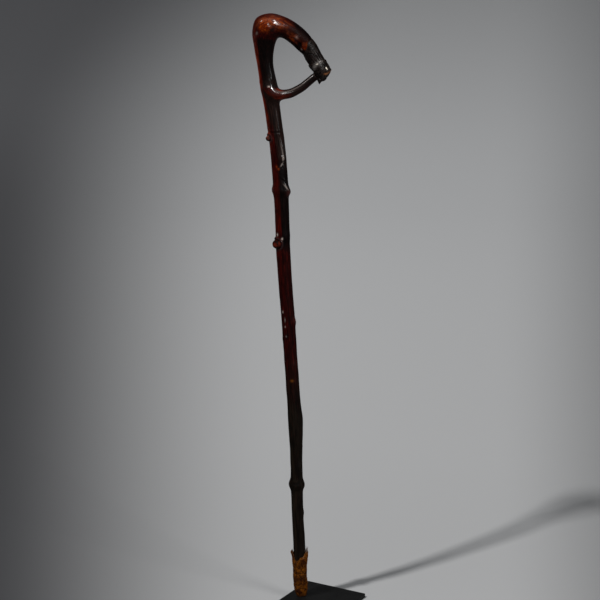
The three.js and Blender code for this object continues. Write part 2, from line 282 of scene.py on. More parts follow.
def piece_of(name, mesh):
    """A new object in the scene that shows a mesh."""
    piece = bpy.data.objects.new(name, mesh)
    bpy.context.scene.collection.objects.link(piece)
    return piece

# %% [markdown]
# The stage is a round sweep of pale paper. It is flat under the stand, bends up into a gentle
# slope and then into a wall on every side. A floor and a wall would be simpler, but this has no
# edge from any angle, and the shadow bends upwards on it as it does in the photograph. The stage
# isn't part of the object.

# %% Stage
SWEEP_DISC = 0.1
SWEEP_FLOOR = 0.15
SWEEP_BEND = 3.5
SWEEP_SLOPE = math.radians(9.7)
SWEEP_TURN = 2.4
SWEEP_WALL = 5.0
SWEEP_RIM = 2.0
SWEEP_SIDES = 128
FAN_DEPTH = 2.4


def sweep_profile():
    """Radius and height of the paper: floor, slow bend, gentle slope, and bend into the wall."""
    rows = [(SWEEP_DISC, 0.0), (SWEEP_FLOOR, 0.0)]
    for angle in np.linspace(0, SWEEP_SLOPE, 9)[1:]:
        out, up = SWEEP_BEND * math.sin(angle), SWEEP_BEND * (1 - math.cos(angle))
        rows.append((SWEEP_FLOOR + out, up))
    radius, height = rows[-1]
    height += (SWEEP_TURN - radius) * math.tan(SWEEP_SLOPE)
    for angle in np.linspace(SWEEP_SLOPE, math.pi / 2, 24):
        out = SWEEP_WALL * (math.sin(angle) - math.sin(SWEEP_SLOPE))
        up = SWEEP_WALL * (math.cos(SWEEP_SLOPE) - math.cos(angle))
        rows.append((SWEEP_TURN + out, height + up))
    return rows + [(rows[-1][0], rows[-1][1] + SWEEP_RIM)]


def sweep_mesh():
    rows = sweep_profile()
    angles = np.linspace(0, 2 * math.pi, SWEEP_SIDES, endpoint=False)
    points = [(radius * math.cos(a), radius * math.sin(a), height)
              for radius, height in rows for a in angles]
    disc = tuple(range(SWEEP_SIDES))
    walls = wall_faces(len(rows), SWEEP_SIDES, len(rows) - 1)
    return mesh_of("stage_sweep", points, [disc, *walls])


def paper_finish():
    """Pale paper. Behind the staff, painted shade darkens it to the left, upwards and far right."""
    finish = Finish("stage_paper")
    side, depth, height = finish.axes()
    fan = side / (depth + FAN_DEPTH)
    # Painted shade and light: a shaded grey and a lit grey, mixed by place on the paper.
    dark = finish.mix(height.above(0.1, 0.7), paint(77, 77, 79), paint(116, 116, 118))
    light = finish.mix(depth.above(0, 3.2), paint(200, 200, 200), paint(240, 240, 240))
    light = finish.mix(height.above(0.06, 1.9), light, paint(174, 174, 174))
    lit = (fan - height * height * 0.075).above(-0.225, -0.005)
    lit = lit * (1 - 0.6 * fan.above(0.13, 0.26))
    behind = depth.above(-1.0, -0.2) * (1 - (fan * fan).above(0.06, 0.12))
    lit = lit * behind + (1 - behind) * 0.6
    grey = finish.mix(lit, dark, light)
    return finish.surface({"Base Color": grey, "Roughness": 0.9, "Specular IOR Level": 0.1})


stage_sweep = piece_of("stage_sweep", sweep_mesh())
stage_sweep.data.materials.append(paper_finish())
print("stage:", len(stage_sweep.data.polygons), "faces")

# %% [markdown]
# Five lamps copy the photograph's light. The key lamp stands high to the left and throws the
# shadow to the right and back, and a wide soft one on the right spreads a faint shadow to the
# left. The others are there for highlights, cast no shadow and are kept off the paper: one above
# the camera, a tall one on the right for the long pale streak down the shaft, and a taller strip
# that lights no colour but is mirrored in the polish along the top of the hook. Each is given by
# the direction it shines from: degrees to the right of the camera, and degrees up.

# %% Lamps
STAFF_MIDDLE = Vector((-0.02, 0, 0.6))
AIR_COLOUR = (0.9, 0.95, 1.0, 1.0)
AIR_STRENGTH = 0.22

all_but_paper = bpy.data.collections.new("all_but_paper")
all_but_paper.objects.link(stage_sweep)
all_but_paper.collection_objects[0].light_linking.link_state = "EXCLUDE"


def place_lamp(name, right, up, distance, width, height, power, highlight=False):
    right, up = math.radians(right), math.radians(up)
    way = Vector((math.sin(right) * math.cos(up), -math.cos(right) * math.cos(up), math.sin(up)))
    light = bpy.data.lights.new(name, "AREA")
    light.shape = "RECTANGLE"
    light.size = width
    light.size_y = height
    light.energy = power
    light.use_shadow = not highlight
    lamp = piece_of(name, light)
    lamp.location = STAFF_MIDDLE + way * distance
    lamp.rotation_euler = way.to_track_quat("Z", "Y").to_euler()
    lamp.visible_camera = False
    if highlight:
        lamp.light_linking.receiver_collection = all_but_paper
    return lamp


place_lamp("key_lamp", -57, 54, 4.6, 0.28, 0.28, 132)
place_lamp("soft_lamp", 50, 26, 3.0, 0.9, 0.4, 17)
place_lamp("top_lamp", 21, 34, 4.0, 0.28, 0.28, 60, highlight=True)
place_lamp("side_lamp", 57, 20, 3.0, 0.18, 1.6, 12, highlight=True)
strip_lamp = place_lamp("strip_lamp", 27, 38, 4.0, 0.3, 3.4, 70, highlight=True)
strip_lamp.visible_diffuse = False

world = bpy.data.worlds.new("studio_air")
world.use_nodes = True
air = world.node_tree.nodes["Background"].inputs
air["Color"].default_value = AIR_COLOUR
air["Strength"].default_value = AIR_STRENGTH
bpy.context.scene.world = world

# %% [markdown]
# The wood is one grown stem: a shaft, a hook that grew over, and a side branch that closes the
# hand loop. It could be sculpted by hand, but a loft is easier to keep true to the part: two
# outlines, and a round section from one to the other at every millimetre. The outlines pass
# through the same stations as the part's, here as shares of the shaft's length and sweep, and
# of the hook's reach.

# %% Outlines of the stem
SHAFT_LENGTH = 860 * MM
SHAFT_SWEEP = 54.4 * MM
SHAFT_THICKNESS = 22 * MM
HOOK_REACH = 102 * MM
STEM_DEPTH = 0.96
STEM_SWAY = 1.4 * MM

PLATE_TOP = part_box("base_plate")[1].z
FOOT_END = PLATE_TOP + 0.3 * MM

SHAFT_STATIONS = [
    # height, sweep, thickness
    (0, -0.014, 0.57),
    (0.016, 0.004, 0.8),
    (0.059, 0.028, 0.86),
    (0.104, 0.042, 0.88),
    (0.163, 0.091, 0.85),
    (0.21, 0.112, 0.88),
    (0.272, 0.128, 0.89),
    (0.33, 0.149, 1.03),
    (0.388, 0.206, 0.98),
    (0.456, 0.28, 0.965),
    (0.528, 0.353, 0.98),
    (0.6, 0.438, 0.98),
    (0.665, 0.5, 1.01),
    (0.73, 0.532, 1.03),
    (0.795, 0.579, 1.07),
    (0.859, 0.669, 1.09),
    (0.917, 0.794, 1.09),
    (0.964, 0.903, 1.15),
    (1, 1, 1.14),
]
HOOK_STATIONS = [
    # outer x, outer z, inner x, inner z
    (-15.9, 22.5, 13.7, 19.6),
    (-18.6, 45, 16.4, 30.3),
    (-12.4, 65.1, 19.5, 35.5),
    (7.7, 72.2, 22.9, 36.5),
    (28.7, 67.2, 28.3, 34.8),
    (48.8, 56.3, 38.2, 28),
    (65.3, 41.6, 48.8, 18.1),
    (75.7, 26.4, 57.5, 10.3),
    (84.8, 10, 64.5, 0.2),
    (93, -4.9, 70.6, -9.1),
    (95, -8.6, 72.2, -10.4),
]
BRANCH_STATIONS = [
    # x, y, z, radius
    (-0.6, -2, -27.8, 8.3),
    (5.3, -7.8, -37.6, 8.1),
    (11.7, -9.8, -43.8, 7.6),
    (20, -9.3, -47, 7.2),
    (29.1, -7.4, -46.8, 7.1),
    (38, -5.4, -45.2, 6.8),
    (46.9, -3.4, -41.2, 6.4),
    (55.8, -2, -36.1, 6.2),
    (64.8, -1, -28.8, 6),
    (73.7, 0, -21.5, 5.8),
    (75.7, 0, -20, 5.4),
]
HOOK_BASE = len(SHAFT_STATIONS) - 1
STEM_END = HOOK_BASE + len(HOOK_STATIONS)
BRANCH_ROOT = 15 * MM


def stem_outlines():
    """The stem's outer and inner outline, from the foot to the hook's end."""
    outer, inner = [], []
    for height, sweep, thickness in SHAFT_STATIONS:
        middle, half = -SHAFT_SWEEP * sweep, SHAFT_THICKNESS * thickness / 2
        outer.append((middle - half, 0, SHAFT_LENGTH * height + FOOT_END))
        inner.append((middle + half, 0, SHAFT_LENGTH * height + FOOT_END))
    unit, left, base = HOOK_REACH / 100, -SHAFT_SWEEP, SHAFT_LENGTH + FOOT_END
    for outer_x, outer_z, inner_x, inner_z in HOOK_STATIONS:
        outer.append((outer_x * unit + left, 0, outer_z * unit + base))
        inner.append((inner_x * unit + left, 0, inner_z * unit + base))
    return np.array(outer), np.array(inner)


outer_line, inner_line = stem_outlines()
print("outlines:", len(outer_line), "stations, up to", np.round(outer_line[-1], 3).tolist())

# %% [markdown]
# The stations are few, so a smooth curve runs through them. A Bezier curve with handles would do,
# but this kind needs no handles and doesn't swing out where two stations lie close together.

# %% Smooth curves through stations


def smooth_line(points, places):
    """Points on the smooth curve through some points. Place 2.5 is half way past the third."""
    points, places = np.asarray(points, float), np.asarray(places, float)
    padded = np.vstack([2 * points[0] - points[1], points, 2 * points[-1] - points[-2]])
    index = np.clip(np.floor(places).astype(int), 0, len(points) - 2)
    share = (places - index)[:, None]
    p0, p1, p2, p3 = (padded[index + k] for k in range(4))

    def gap(a, b):
        return np.sqrt(np.linalg.norm(b - a, axis=1))[:, None]

    d0, d1, d2 = gap(p0, p1), gap(p1, p2), gap(p2, p3)
    start = ((p1 - p0) / d0 - (p2 - p0) / (d0 + d1) + (p2 - p1) / d1) * d1
    end = ((p2 - p1) / d1 - (p3 - p1) / (d1 + d2) + (p3 - p2) / d2) * d1
    second = -3 * p1 + 3 * p2 - 2 * start - end
    third = 2 * p1 - 2 * p2 + start + end
    return p1 + share * (start + share * (second + share * third))


def step(values, low, high):
    """0 below low, 1 above high, and a smooth step between them."""
    share = np.clip((values - low) / (high - low), 0, 1)
    return share * share * (3 - 2 * share)


def unit_rows(vectors):
    return vectors / np.linalg.norm(vectors, axis=1, keepdims=True)


def lengths_along(line):
    """How far each point of a line is from its first point, measured along the line."""
    return np.concatenate([[0], np.cumsum(np.linalg.norm(np.diff(line, axis=0), axis=1))])


def even_places(fine, line, spacing):
    """Evenly spaced lengths along a line of fine places, and the places where they fall."""
    lengths = lengths_along(line)
    even = np.linspace(0, lengths[-1], round(lengths[-1] / spacing) + 1)
    return even, np.interp(even, lengths, fine)


print("the outer outline is", round(lengths_along(outer_line)[-1], 3), "m long")

# %% [markdown]
# A limb is a row of round sections, at even steps along the middle of its outlines. It also finds
# the section nearest to any point, because later the scars, the colours and the hide are all
# placed by how far along the stem they are, and on which side.

# %% Limbs of round sections
BACK = np.array([0, 1, 0])
STEM_STEP = 1.4 * MM
STEM_SAMPLES = 4000
BRANCH_STEP = 1.0 * MM
BRANCH_SAMPLES = 600
# The brace starts inside the stem with this share of its radius.
BRANCH_START = 0.4


def stem_sway(height):
    """How far the shaft's middle sways to the back at a height above its foot."""
    share = height / SHAFT_LENGTH
    return STEM_SWAY * np.sin(share * math.pi) * np.sin(share * 2 * math.pi)


class Limb:
    """A round limb: its middle line, the two ways across it, its half widths and its length."""

    def __init__(self, middle, across, half, depth):
        self.middle = middle
        self.across = across
        self.half = half
        self.depth = depth
        self.along = lengths_along(middle)
        self.way = unit_rows(np.gradient(middle, axis=0))
        self.back = unit_rows(np.cross(self.way, across))
        self.back *= np.where(self.back[:, 1:2] < 0, -1, 1)
        self.tree = KDTree(len(middle))
        for index, point in enumerate(middle):
            self.tree.insert(point, index)
        self.tree.balance()

    def local(self, points):
        """For each point: across, back, along, side in degrees and share of the half width."""
        index = np.array([self.tree.find(point)[1] for point in points])
        offset = points - self.middle[index]
        across = np.sum(offset * self.across[index], axis=1)
        back = np.sum(offset * self.back[index], axis=1)
        along = self.along[index] + np.sum(offset * self.way[index], axis=1)
        side = np.degrees(np.arctan2(back, across)) % 360
        return across, back, along, side, np.hypot(across, back) / self.half[index]


def stem_limb():
    fine = np.linspace(0, STEM_END, STEM_SAMPLES)
    middle = (smooth_line(outer_line, fine) + smooth_line(inner_line, fine)) / 2
    places = even_places(fine, middle, STEM_STEP)[1]
    outer, inner = smooth_line(outer_line, places), smooth_line(inner_line, places)
    middle = (outer + inner) / 2
    half = np.linalg.norm(inner - outer, axis=1) / 2
    middle[:, 1] += np.where(places < HOOK_BASE, stem_sway(middle[:, 2] - FOOT_END), 0)
    limb = Limb(middle, unit_rows(inner - outer), half, half * STEM_DEPTH)
    limb.places = places
    return limb


def branch_limb(spacing, grow=0.0):
    """The brace, from inside the stem to the hook's end, with its radius grown by some length."""
    stations = np.array(BRANCH_STATIONS) * (HOOK_REACH / 100)
    stations[:, 0] -= SHAFT_SWEEP
    stations[:, 2] += SHAFT_LENGTH + FOOT_END
    fine = np.linspace(0, len(stations) - 1, BRANCH_SAMPLES)
    from_root, places = even_places(fine, smooth_line(stations[:, :3], fine), spacing)
    middle = smooth_line(stations[:, :3], places)
    half = np.interp(places, np.arange(len(stations)), stations[:, 3])
    half *= BRANCH_START + (1 - BRANCH_START) * step(from_root, 0, BRANCH_ROOT)
    half += grow
    way = unit_rows(np.gradient(middle, axis=0))
    return Limb(middle, unit_rows(np.cross(BACK, way)), half, half)


stem = stem_limb()
branch = branch_limb(BRANCH_STEP)
print("stem:", len(stem.middle), "sections,", round(stem.along[-1], 3), "m along its middle")
print("branch:", len(branch.middle), "sections,", round(branch.along[-1], 3), "m")

# %% [markdown]
# Knots are what make a stick a grown one. A texture could hint at them, but the outline would
# stay straight. So each swelling is a smooth hill in the section's radius, with a height, a side,
# a reach and two widths. Sides are in degrees: 0 is the right, 90 the back and 270 the front.

# %% Knots
KNOTS = [
    # height share, side, reach in mm, half length in mm, half spread in degrees
    (0.165, 0, 1.2, 6, 50),
    (0.217, 10, 2.4, 5.5, 400),
    (0.224, 180, 2.3, 5.5, 400),
    (0.349, 0, 1.0, 14, 70),
    (0.532, 0, 1.5, 6, 50),
    (0.69, 300, 1.6, 8, 60),
    (0.773, 350, 2.3, 7, 400),
    (0.785, 305, 1.6, 5, 22),
    (0.82, 315, -2.0, 4.5, 26),
    (0.832, 305, 1.8, 5, 26),
    (0.85, 310, 1.5, 12, 20),
    (0.951, 285, 2.5, 16, 60),
]


def falloff(distance, half_width):
    """1 where the distance is nought, falling off smoothly on both sides."""
    return np.exp(-((distance / half_width) ** 2))


def turn_from(degrees, side):
    """Degrees from a side, from -180 to 180."""
    return (degrees - side + 540) % 360 - 180


def side_distance(degrees, side):
    return np.abs(turn_from(degrees, side))


def knot_swell(height, degrees):
    """How far the knots push the bark out at a height above the foot and a side."""
    total = np.zeros(np.broadcast(height, degrees).shape)
    for share, side, reach, length, spread in KNOTS:
        along = falloff(height - share * SHAFT_LENGTH, length * MM)
        total += reach * MM * along * falloff(side_distance(degrees, side), spread)
    return total


print("knots:", len(KNOTS), "swellings of up to", max(knot[2] for knot in KNOTS), "mm")

# %% [markdown]
# Each limb becomes a stack of rings, pushed out by the knots. A slow wave of noise that is
# stretched along the limb keeps its section from being a true circle, as the fibres do.

# %% Loft the stem and the brace
STEM_SIDES = 84
BRANCH_SIDES = 48
SEED_STEP = 17.31


def wave(points, scale, seed):
    """Smooth noise from -1 to 1 at each point, the scale given for each axis."""
    shifted = np.asarray(points) * scale + seed * SEED_STEP
    return np.array([noise.noise(point) for point in shifted])


def ridge_noise(angle, along, radius, length, seed):
    """Noise from -1 to 1 round a limb. A greater radius gives more ridges in a turn."""
    field = np.stack([radius * np.cos(angle), radius * np.sin(angle), along / length], axis=-1)
    return wave(field.reshape(-1, 3), 1.0, seed).reshape(angle.shape)


def fibre_wave(limb, degrees, reach, seed):
    """Ridges along a limb, slow ones with quicker ones on them, of a reach to both sides."""
    angle = np.radians(np.broadcast_to(degrees, (len(limb.along), degrees.shape[1])))
    along = np.broadcast_to(limb.along[:, None] / MM, angle.shape)
    slow = ridge_noise(angle, along, 1.0, 26, seed)
    quick = ridge_noise(angle, along, 2.6, 15, seed + 1)
    return reach * (0.7 * slow + 0.3 * quick)


def stem_swell(limb, degrees):
    height = limb.middle[:, 2:3] - FOOT_END
    knots = np.where(limb.places[:, None] < HOOK_BASE, knot_swell(height, degrees), 0)
    return knots + fibre_wave(limb, degrees, 0.55 * MM, 1)


def branch_swell(limb, degrees):
    return fibre_wave(limb, degrees, 0.3 * MM, 5)


def sides_of(count):
    return np.linspace(0, 360, count, endpoint=False)[None, :]


def loft(name, limb, sides, swell):
    """A closed mesh round a limb, pushed out by a swell for each place and side."""
    degrees = sides_of(sides)
    angle = np.radians(degrees)
    push = swell(limb, degrees)
    across = np.cos(angle) * (limb.half[:, None] + push)
    back = np.sin(angle) * (limb.depth[:, None] + push)
    rings = (limb.middle[:, None, :] + across[..., None] * limb.across[:, None, :]
             + back[..., None] * BACK)
    return mesh_from_rings(name, rings)


grown_wood = piece_of("grown_wood", loft("grown_wood", stem, STEM_SIDES, stem_swell))
brace = piece_of("brace", loft("brace", branch, BRANCH_SIDES, branch_swell))
print("lofts:", len(grown_wood.data.vertices), "and", len(brace.data.vertices), "points")

# %% [markdown]
# Two twigs were cut off and the stem grew round them. A short cylinder would have hard edges, so
# each stub is a lumpy ball of wood, pressed flat where the knife went and again at its shoulder.

# %% Twig stubs
STUBS = [
    # height share, side, radius, inset, and the ways its two flats face
    {"height": 0.6775, "side": 212, "radius": 7.9, "inset": 0.03,
     "flats": ((-0.45, -0.85, -0.1, 0.8), (0.7, -0.7, 0.2, 0.8))},
    {"height": 0.8665, "side": 202, "radius": 5.1, "inset": -0.2,
     "flats": ((-0.6, -0.35, 0.7, 0.66), (-0.1, -1.0, -0.1, 0.85))},
]
STUB_SIDES = 40
STUB_RINGS = 26
STUB_LUMPS = 0.07
STUB_PRESS = 0.8


def stem_point(share, side, reach):
    """The point at a height and side of the shaft, that far outside its bark."""
    index = int(np.argmin(np.abs(stem.middle[:, 2] - FOOT_END - share * SHAFT_LENGTH)))
    angle = math.radians(side)
    swell = float(knot_swell(share * SHAFT_LENGTH, side)) + reach
    across = math.cos(angle) * (stem.half[index] + swell)
    back = math.sin(angle) * (stem.depth[index] + swell)
    return stem.middle[index] + across * stem.across[index] + back * BACK


def stub_middle(stub):
    return stem_point(stub["height"], stub["side"], -stub["inset"] * stub["radius"] * MM)


def stub_rings(stub):
    tilt = np.linspace(0, math.pi, STUB_RINGS + 2)[1:-1, None]
    turn = np.linspace(0, 2 * math.pi, STUB_SIDES, endpoint=False)[None, :]
    ball = np.stack([np.sin(tilt) * np.cos(turn), np.sin(tilt) * np.sin(turn),
                     np.cos(tilt) * np.ones_like(turn)], axis=-1)
    lumps = wave(ball.reshape(-1, 3), 1.7, stub["radius"]).reshape(ball.shape[:2])
    ball = ball * (1 + STUB_LUMPS * lumps[..., None])
    for x, y, z, depth in stub["flats"]:
        way = np.array([x, y, z]) / math.sqrt(x * x + y * y + z * z)
        over = np.maximum(ball @ way - depth, 0)
        ball = ball - STUB_PRESS * over[..., None] * way
    return ball * stub["radius"] * MM + stub_middle(stub)


stub_pieces = [piece_of("stub", mesh_from_rings("stub", stub_rings(stub))) for stub in STUBS]
print("stubs at", [np.round(stub_middle(stub), 4).tolist() for stub in STUBS])

# %% [markdown]
# The pieces of wood are joined by booleans, which need closed meshes and keep each mesh's own
# points elsewhere. A remesh would join them too, but it would wear down the small scars. What
# follows reads and moves points as arrays, and measures how far they lie from a surface.

# %% Join solids and move their points


def combine(target, tool, operation):
    """Joins a closed tool to a closed target, or cuts it out."""
    changer = target.modifiers.new("combine", "BOOLEAN")
    changer.operation = operation
    changer.solver = "EXACT"
    changer.object = tool
    ready = target.evaluated_get(bpy.context.evaluated_depsgraph_get())
    mesh = bpy.data.meshes.new_from_object(ready)
    target.modifiers.remove(changer)
    target.data = mesh
    shade_smooth(mesh)
    bpy.data.objects.remove(tool)


def points_of(mesh):
    points = np.empty(len(mesh.vertices) * 3)
    mesh.vertices.foreach_get("co", points)
    return points.reshape(-1, 3)


def set_points(mesh, points):
    mesh.vertices.foreach_set("co", np.asarray(points, float).ravel())
    mesh.update()


def normals_of(mesh):
    normals = np.empty(len(mesh.vertices) * 3)
    mesh.vertex_normals.foreach_get("vector", normals)
    return normals.reshape(-1, 3)


def distances(tree, points):
    """Signed distance and outward way from a closed surface, for each point."""
    far, ways = np.empty(len(points)), np.empty((len(points), 3))
    for index, point in enumerate(points):
        place, normal, _, distance = tree.find_nearest(point)
        offset = Vector(point) - place
        sign = -1.0 if offset.dot(normal) < 0 else 1.0
        far[index] = sign * distance
        ways[index] = offset * (sign / distance) if distance > 1e-6 else normal
    return far, ways


def neighbour_means(mesh, points):
    """The middle of each point's neighbours along the edges."""
    edges = np.empty(len(mesh.edges) * 2, int)
    mesh.edges.foreach_get("vertices", edges)
    edges = edges.reshape(-1, 2)
    total, count = np.zeros_like(points), np.zeros(len(points))
    for a, b in ((0, 1), (1, 0)):
        np.add.at(total, edges[:, a], points[edges[:, b]])
        np.add.at(count, edges[:, a], 1)
    return total / count[:, None]

# %% [markdown]
# A boolean leaves a sharp valley where the brace leaves the stem, but a living branch flows out
# of it. A bevel can't follow such a ragged edge. So the points near the valley are moved on to a
# rounded surface: a smooth minimum of the distances to the two limbs, found in a few steps.

# %% Grow the pieces together
BORE_RADIUS = 3.3 * MM
BORE_DEPTH = 57 * MM
BORE_OVERSHOOT = 20 * MM
BORE_SIDES = 32
VALLEY_SECTION = 8
VALLEY_REACH = 50 * MM
VALLEY_ROUNDING = 11 * MM
ROUNDING_STEPS = 5


def tree_of(mesh):
    return BVHTree.FromPolygons([v.co for v in mesh.vertices], [p.vertices for p in mesh.polygons])


def round_valley(mesh, first, second, middle):
    """Moves the points between two limbs on to a rounded surface."""
    points = points_of(mesh)
    chosen = np.nonzero(np.linalg.norm(points - middle, axis=1) < VALLEY_REACH)[0]
    gaps = [distances(tree, points[chosen])[0] for tree in (first, second)]
    chosen = chosen[np.maximum(*gaps) < VALLEY_ROUNDING]
    for turn in range(ROUNDING_STEPS):
        if turn < ROUNDING_STEPS - 1:
            points[chosen] += 0.5 * (neighbour_means(mesh, points)[chosen] - points[chosen])
        a, way_a = distances(first, points[chosen])
        b, way_b = distances(second, points[chosen])
        near = np.clip(1 - np.abs(a - b) / VALLEY_ROUNDING, 0, 1)
        value = np.minimum(a, b) - near ** 2 * VALLEY_ROUNDING / 4
        share = np.clip(0.5 + 0.5 * (b - a) / VALLEY_ROUNDING, 0, 1)[:, None]
        way = way_a * share + way_b * (1 - share)
        size = np.maximum(np.sum(way * way, axis=1), 0.3)
        points[chosen] -= way * (value / size)[:, None]
    set_points(mesh, points)
    return len(chosen)


def bore_piece():
    angles = np.linspace(0, 2 * math.pi, BORE_SIDES, endpoint=False)
    circle = np.stack([np.cos(angles), np.sin(angles), 0 * angles], axis=-1) * BORE_RADIUS
    ends = (FOOT_END - BORE_OVERSHOOT, FOOT_END + BORE_DEPTH)
    return piece_of("bore", mesh_from_rings("bore", np.array([circle + (0, 0, z) for z in ends])))


stem_tree, branch_tree = tree_of(grown_wood.data), tree_of(brace.data)
combine(grown_wood, brace, "UNION")
moved = round_valley(grown_wood.data, stem_tree, branch_tree, branch.middle[VALLEY_SECTION])
for stub in stub_pieces:
    combine(grown_wood, stub, "UNION")
combine(grown_wood, bore_piece(), "DIFFERENCE")
print("wood:", len(grown_wood.data.polygons), "faces,", moved, "points rounded")

# %% [markdown]
# Growth and the knife left scars: a notch, a slash and dents. They could be sculpted, but as
# rows of a table each one can be set against the photograph. Each is a hill or a hollow with a
# place, a size along the stem and a size round it, and fades out smoothly. A ledge is a step
# instead, where the bark above hangs over a cut.

# %% Scars, ledges and pits
SCARS = [
    # height share, side, height of the hill in mm, half length in mm, half spread in degrees
    (0.8185, 290, 0.9, 2.0, 12),
    (0.7835, 304, 1.3, 4.2, 11),
    (0.7805, 288, -0.9, 5.0, 8),
    (0.7705, 338, 1.9, 5.5, 24),
    (0.776, 190, 0.8, 4.5, 30),
    (0.8786, 245, -0.5, 1.3, 22),
    (0.8786, 290, -0.6, 1.3, 24),
    (0.8752, 280, 0.5, 2.0, 40),
    (0.552, 228, 0.5, 3.0, 14),
    (0.5373, 241, -0.6, 2.6, 10),
    (0.5242, 240, 0.4, 3.0, 9),
    (0.5065, 243, 0.5, 3.4, 10),
    (0.5365, 330, 0.9, 4.5, 22),
    (0.6, 250, -0.4, 4.0, 14),
    (0.455, 300, 0.5, 4.0, 20),
    (0.41, 250, -0.5, 3.5, 14),
    (0.3, 230, -0.5, 6.0, 16),
    (0.262, 300, 0.4, 5.0, 20),
    (0.225, 262, -0.9, 2.0, 40),
    (0.196, 290, -0.4, 4.0, 20),
    (0.13, 280, -0.5, 5.0, 18),
]
LEDGES = [
    # height share, side, rise to the right in tenths, depth of the cut, its fade, half spread
    (0.8245, 300, 0.16, 2.3, 6, 42),
    (0.793, 300, -0.1, 0.9, 6, 26),
    (0.879, 265, -0.01, 0.6, 5, 60),
]
BACK_SCARS = 26
HOOK_PITS = [
    # along the stem in mm from the shaft's top, side, hill in mm, half length, half spread
    (114, 295, -2.2, 3.4, 11),
    (103, 281, 0.9, 4.4, 13),
    (119, 282, 0.5, 2.4, 12),
    (119, 301, -0.7, 2.4, 8),
    (108, 305, 0.5, 2.4, 8),
    (88, 290, 0.5, 3.0, 10),
    (70, 290, -0.4, 3.0, 9),
    (40, 250, -0.35, 4.0, 12),
    (52, 232, 0.35, 5.0, 14),
    (38, 228, 0.5, 3.2, 9),
    (58, 262, -0.7, 2.4, 8),
    (63, 281, -0.5, 2.4, 8),
    (96, 215, -0.5, 7.0, 14),
    (60, 130, -0.6, 4.0, 12),
    (92, 100, -1.0, 4.5, 12),
    (25, 90, 0.6, 6.0, 20),
]

SCAR_SEED = 7
rng = np.random.default_rng(SCAR_SEED)


def back_scars():
    """More small marks, at places the photograph doesn't show."""
    marks = []
    for share in rng.uniform(0.12, 0.93, BACK_SCARS):
        side, size = rng.uniform(10, 170), rng.uniform(2, 6)
        marks.append((share, side, rng.choice([-0.7, -0.4, 0.4, 0.6]), size, rng.uniform(9, 24)))
    return marks


points = points_of(grown_wood.data)
normals = normals_of(grown_wood.data)
stem_across, stem_back, stem_along, stem_side, stem_share = stem.local(points)
branch_across, branch_back, branch_along, branch_side, branch_share = branch.local(points)
height = (points[:, 2] - FOOT_END) / SHAFT_LENGTH
shaft_top_along = stem.along[int(np.searchsorted(stem.places, HOOK_BASE))]
hook_along = (stem_along - shaft_top_along) / MM
on_hook = hook_along > 0
on_stem = (stem_share > 0.8) & (branch_share > 1.15)


def at_side(side, spread):
    """1 along one side of the stem, falling off round it."""
    return falloff(side_distance(stem_side, side), spread)


def at_brace_side(side, spread):
    return falloff(side_distance(branch_side, side), spread)


push = np.zeros(len(points))
for share, side, hill, length, spread in SCARS + back_scars():
    mark = falloff(height - share, length * MM / SHAFT_LENGTH) * at_side(side, spread)
    push += np.where(on_hook, 0, hill * MM * mark)
for share, side, rise, cut, fade, spread in LEDGES:
    line = share + rise * np.radians(turn_from(stem_side, side)) * 0.1
    below = (line - height) * SHAFT_LENGTH / MM
    lip = 0.45 * falloff(below + 1.4, 1.6)
    drop = step(below, -0.4, 0.8) * np.exp(-np.maximum(below, 0) / fade)
    push += np.where(on_hook, 0, (lip - cut * drop) * MM * at_side(side, spread))
for along, side, hill, length, spread in HOOK_PITS:
    mark = falloff(hook_along - along, length) * at_side(side, spread)
    push += np.where(on_hook, hill * MM * mark, 0)
push *= on_stem
print("scars:", len(SCARS) + BACK_SCARS, "on the shaft and", len(HOOK_PITS), "on the hook")

# %% [markdown]
# The twig stubs get their collars: a dark groove where bark meets stub, and a lip of bark rolled
# up round it, higher on the upper side. Both follow from the distance to the nearer stub, so
# they fit it all round, which a ring laid round it wouldn't.

# %% Collars round the stubs
COLLAR_REACH = 2.1 * MM
COLLAR_WIDTH = 1.9 * MM
GROOVE_DEPTH = 0.8 * MM
UPPER_RIGHT = np.array([0.5, -0.2, 0.85])

stub_gap = np.full(len(points), 1.0)
stub_above = np.zeros(len(points))
for stub in STUBS:
    offset = points - stub_middle(stub)
    distance = np.linalg.norm(offset, axis=1)
    nearer = distance - stub["radius"] * MM < stub_gap
    stub_gap = np.where(nearer, distance - stub["radius"] * MM, stub_gap)
    stub_above = np.where(nearer, offset @ UPPER_RIGHT / distance, stub_above)
outside_stub = np.clip((stub_gap - 0.3 * MM) / (0.6 * MM), 0, 1)
collar = COLLAR_REACH * step(stub_above, -1.0, 0.5)
collar = collar * falloff(stub_gap - COLLAR_WIDTH, 0.75 * COLLAR_WIDTH)
groove = -GROOVE_DEPTH * falloff(stub_gap - 0.2 * MM, 0.6 * MM)
push += collar * outside_stub + groove
set_points(grown_wood.data, points + normals * push[:, None])
print("deepest mark:", round(float(push.min()) / MM, 2), "mm")

# %% [markdown]
# Colour follows use. Hands polished the hook until the amber heartwood shows through, soot and
# dirt stayed where they never touch, and the outer edge of the shaft is a warm red, with a painted
# rim light on it. A painted image would need a flat map of the whole stick. Here each zone is a
# number on the points of the mesh instead, from 0 to 1, by a rule of the place along the stem and
# the side of it.

# %% Zones of colour along the stem


def speckle(scale, seed):
    """Noise that makes the edge of a zone uneven."""
    return wave(points, scale, seed)


from_rim = side_distance(stem_side, 190)
amber_side = 1 - step(from_rim + 16 * speckle(110, 3), 60, 114)
amber_side *= 0.1 + 0.9 * step(from_rim, 22, 56)
amber_along = step(hook_along + 5 * speckle(150, 8), 40, 51) * (1 - 0.85 * step(hook_along, 60, 92))
amber = np.where(on_hook, amber_side * amber_along, 0)
amber += 0.8 * falloff(hook_along - 122, 5) * at_side(282, 26)
amber += 0.75 * falloff(hook_along - 101, 10) * at_side(296, 26)
amber = np.clip(amber, 0, 1)
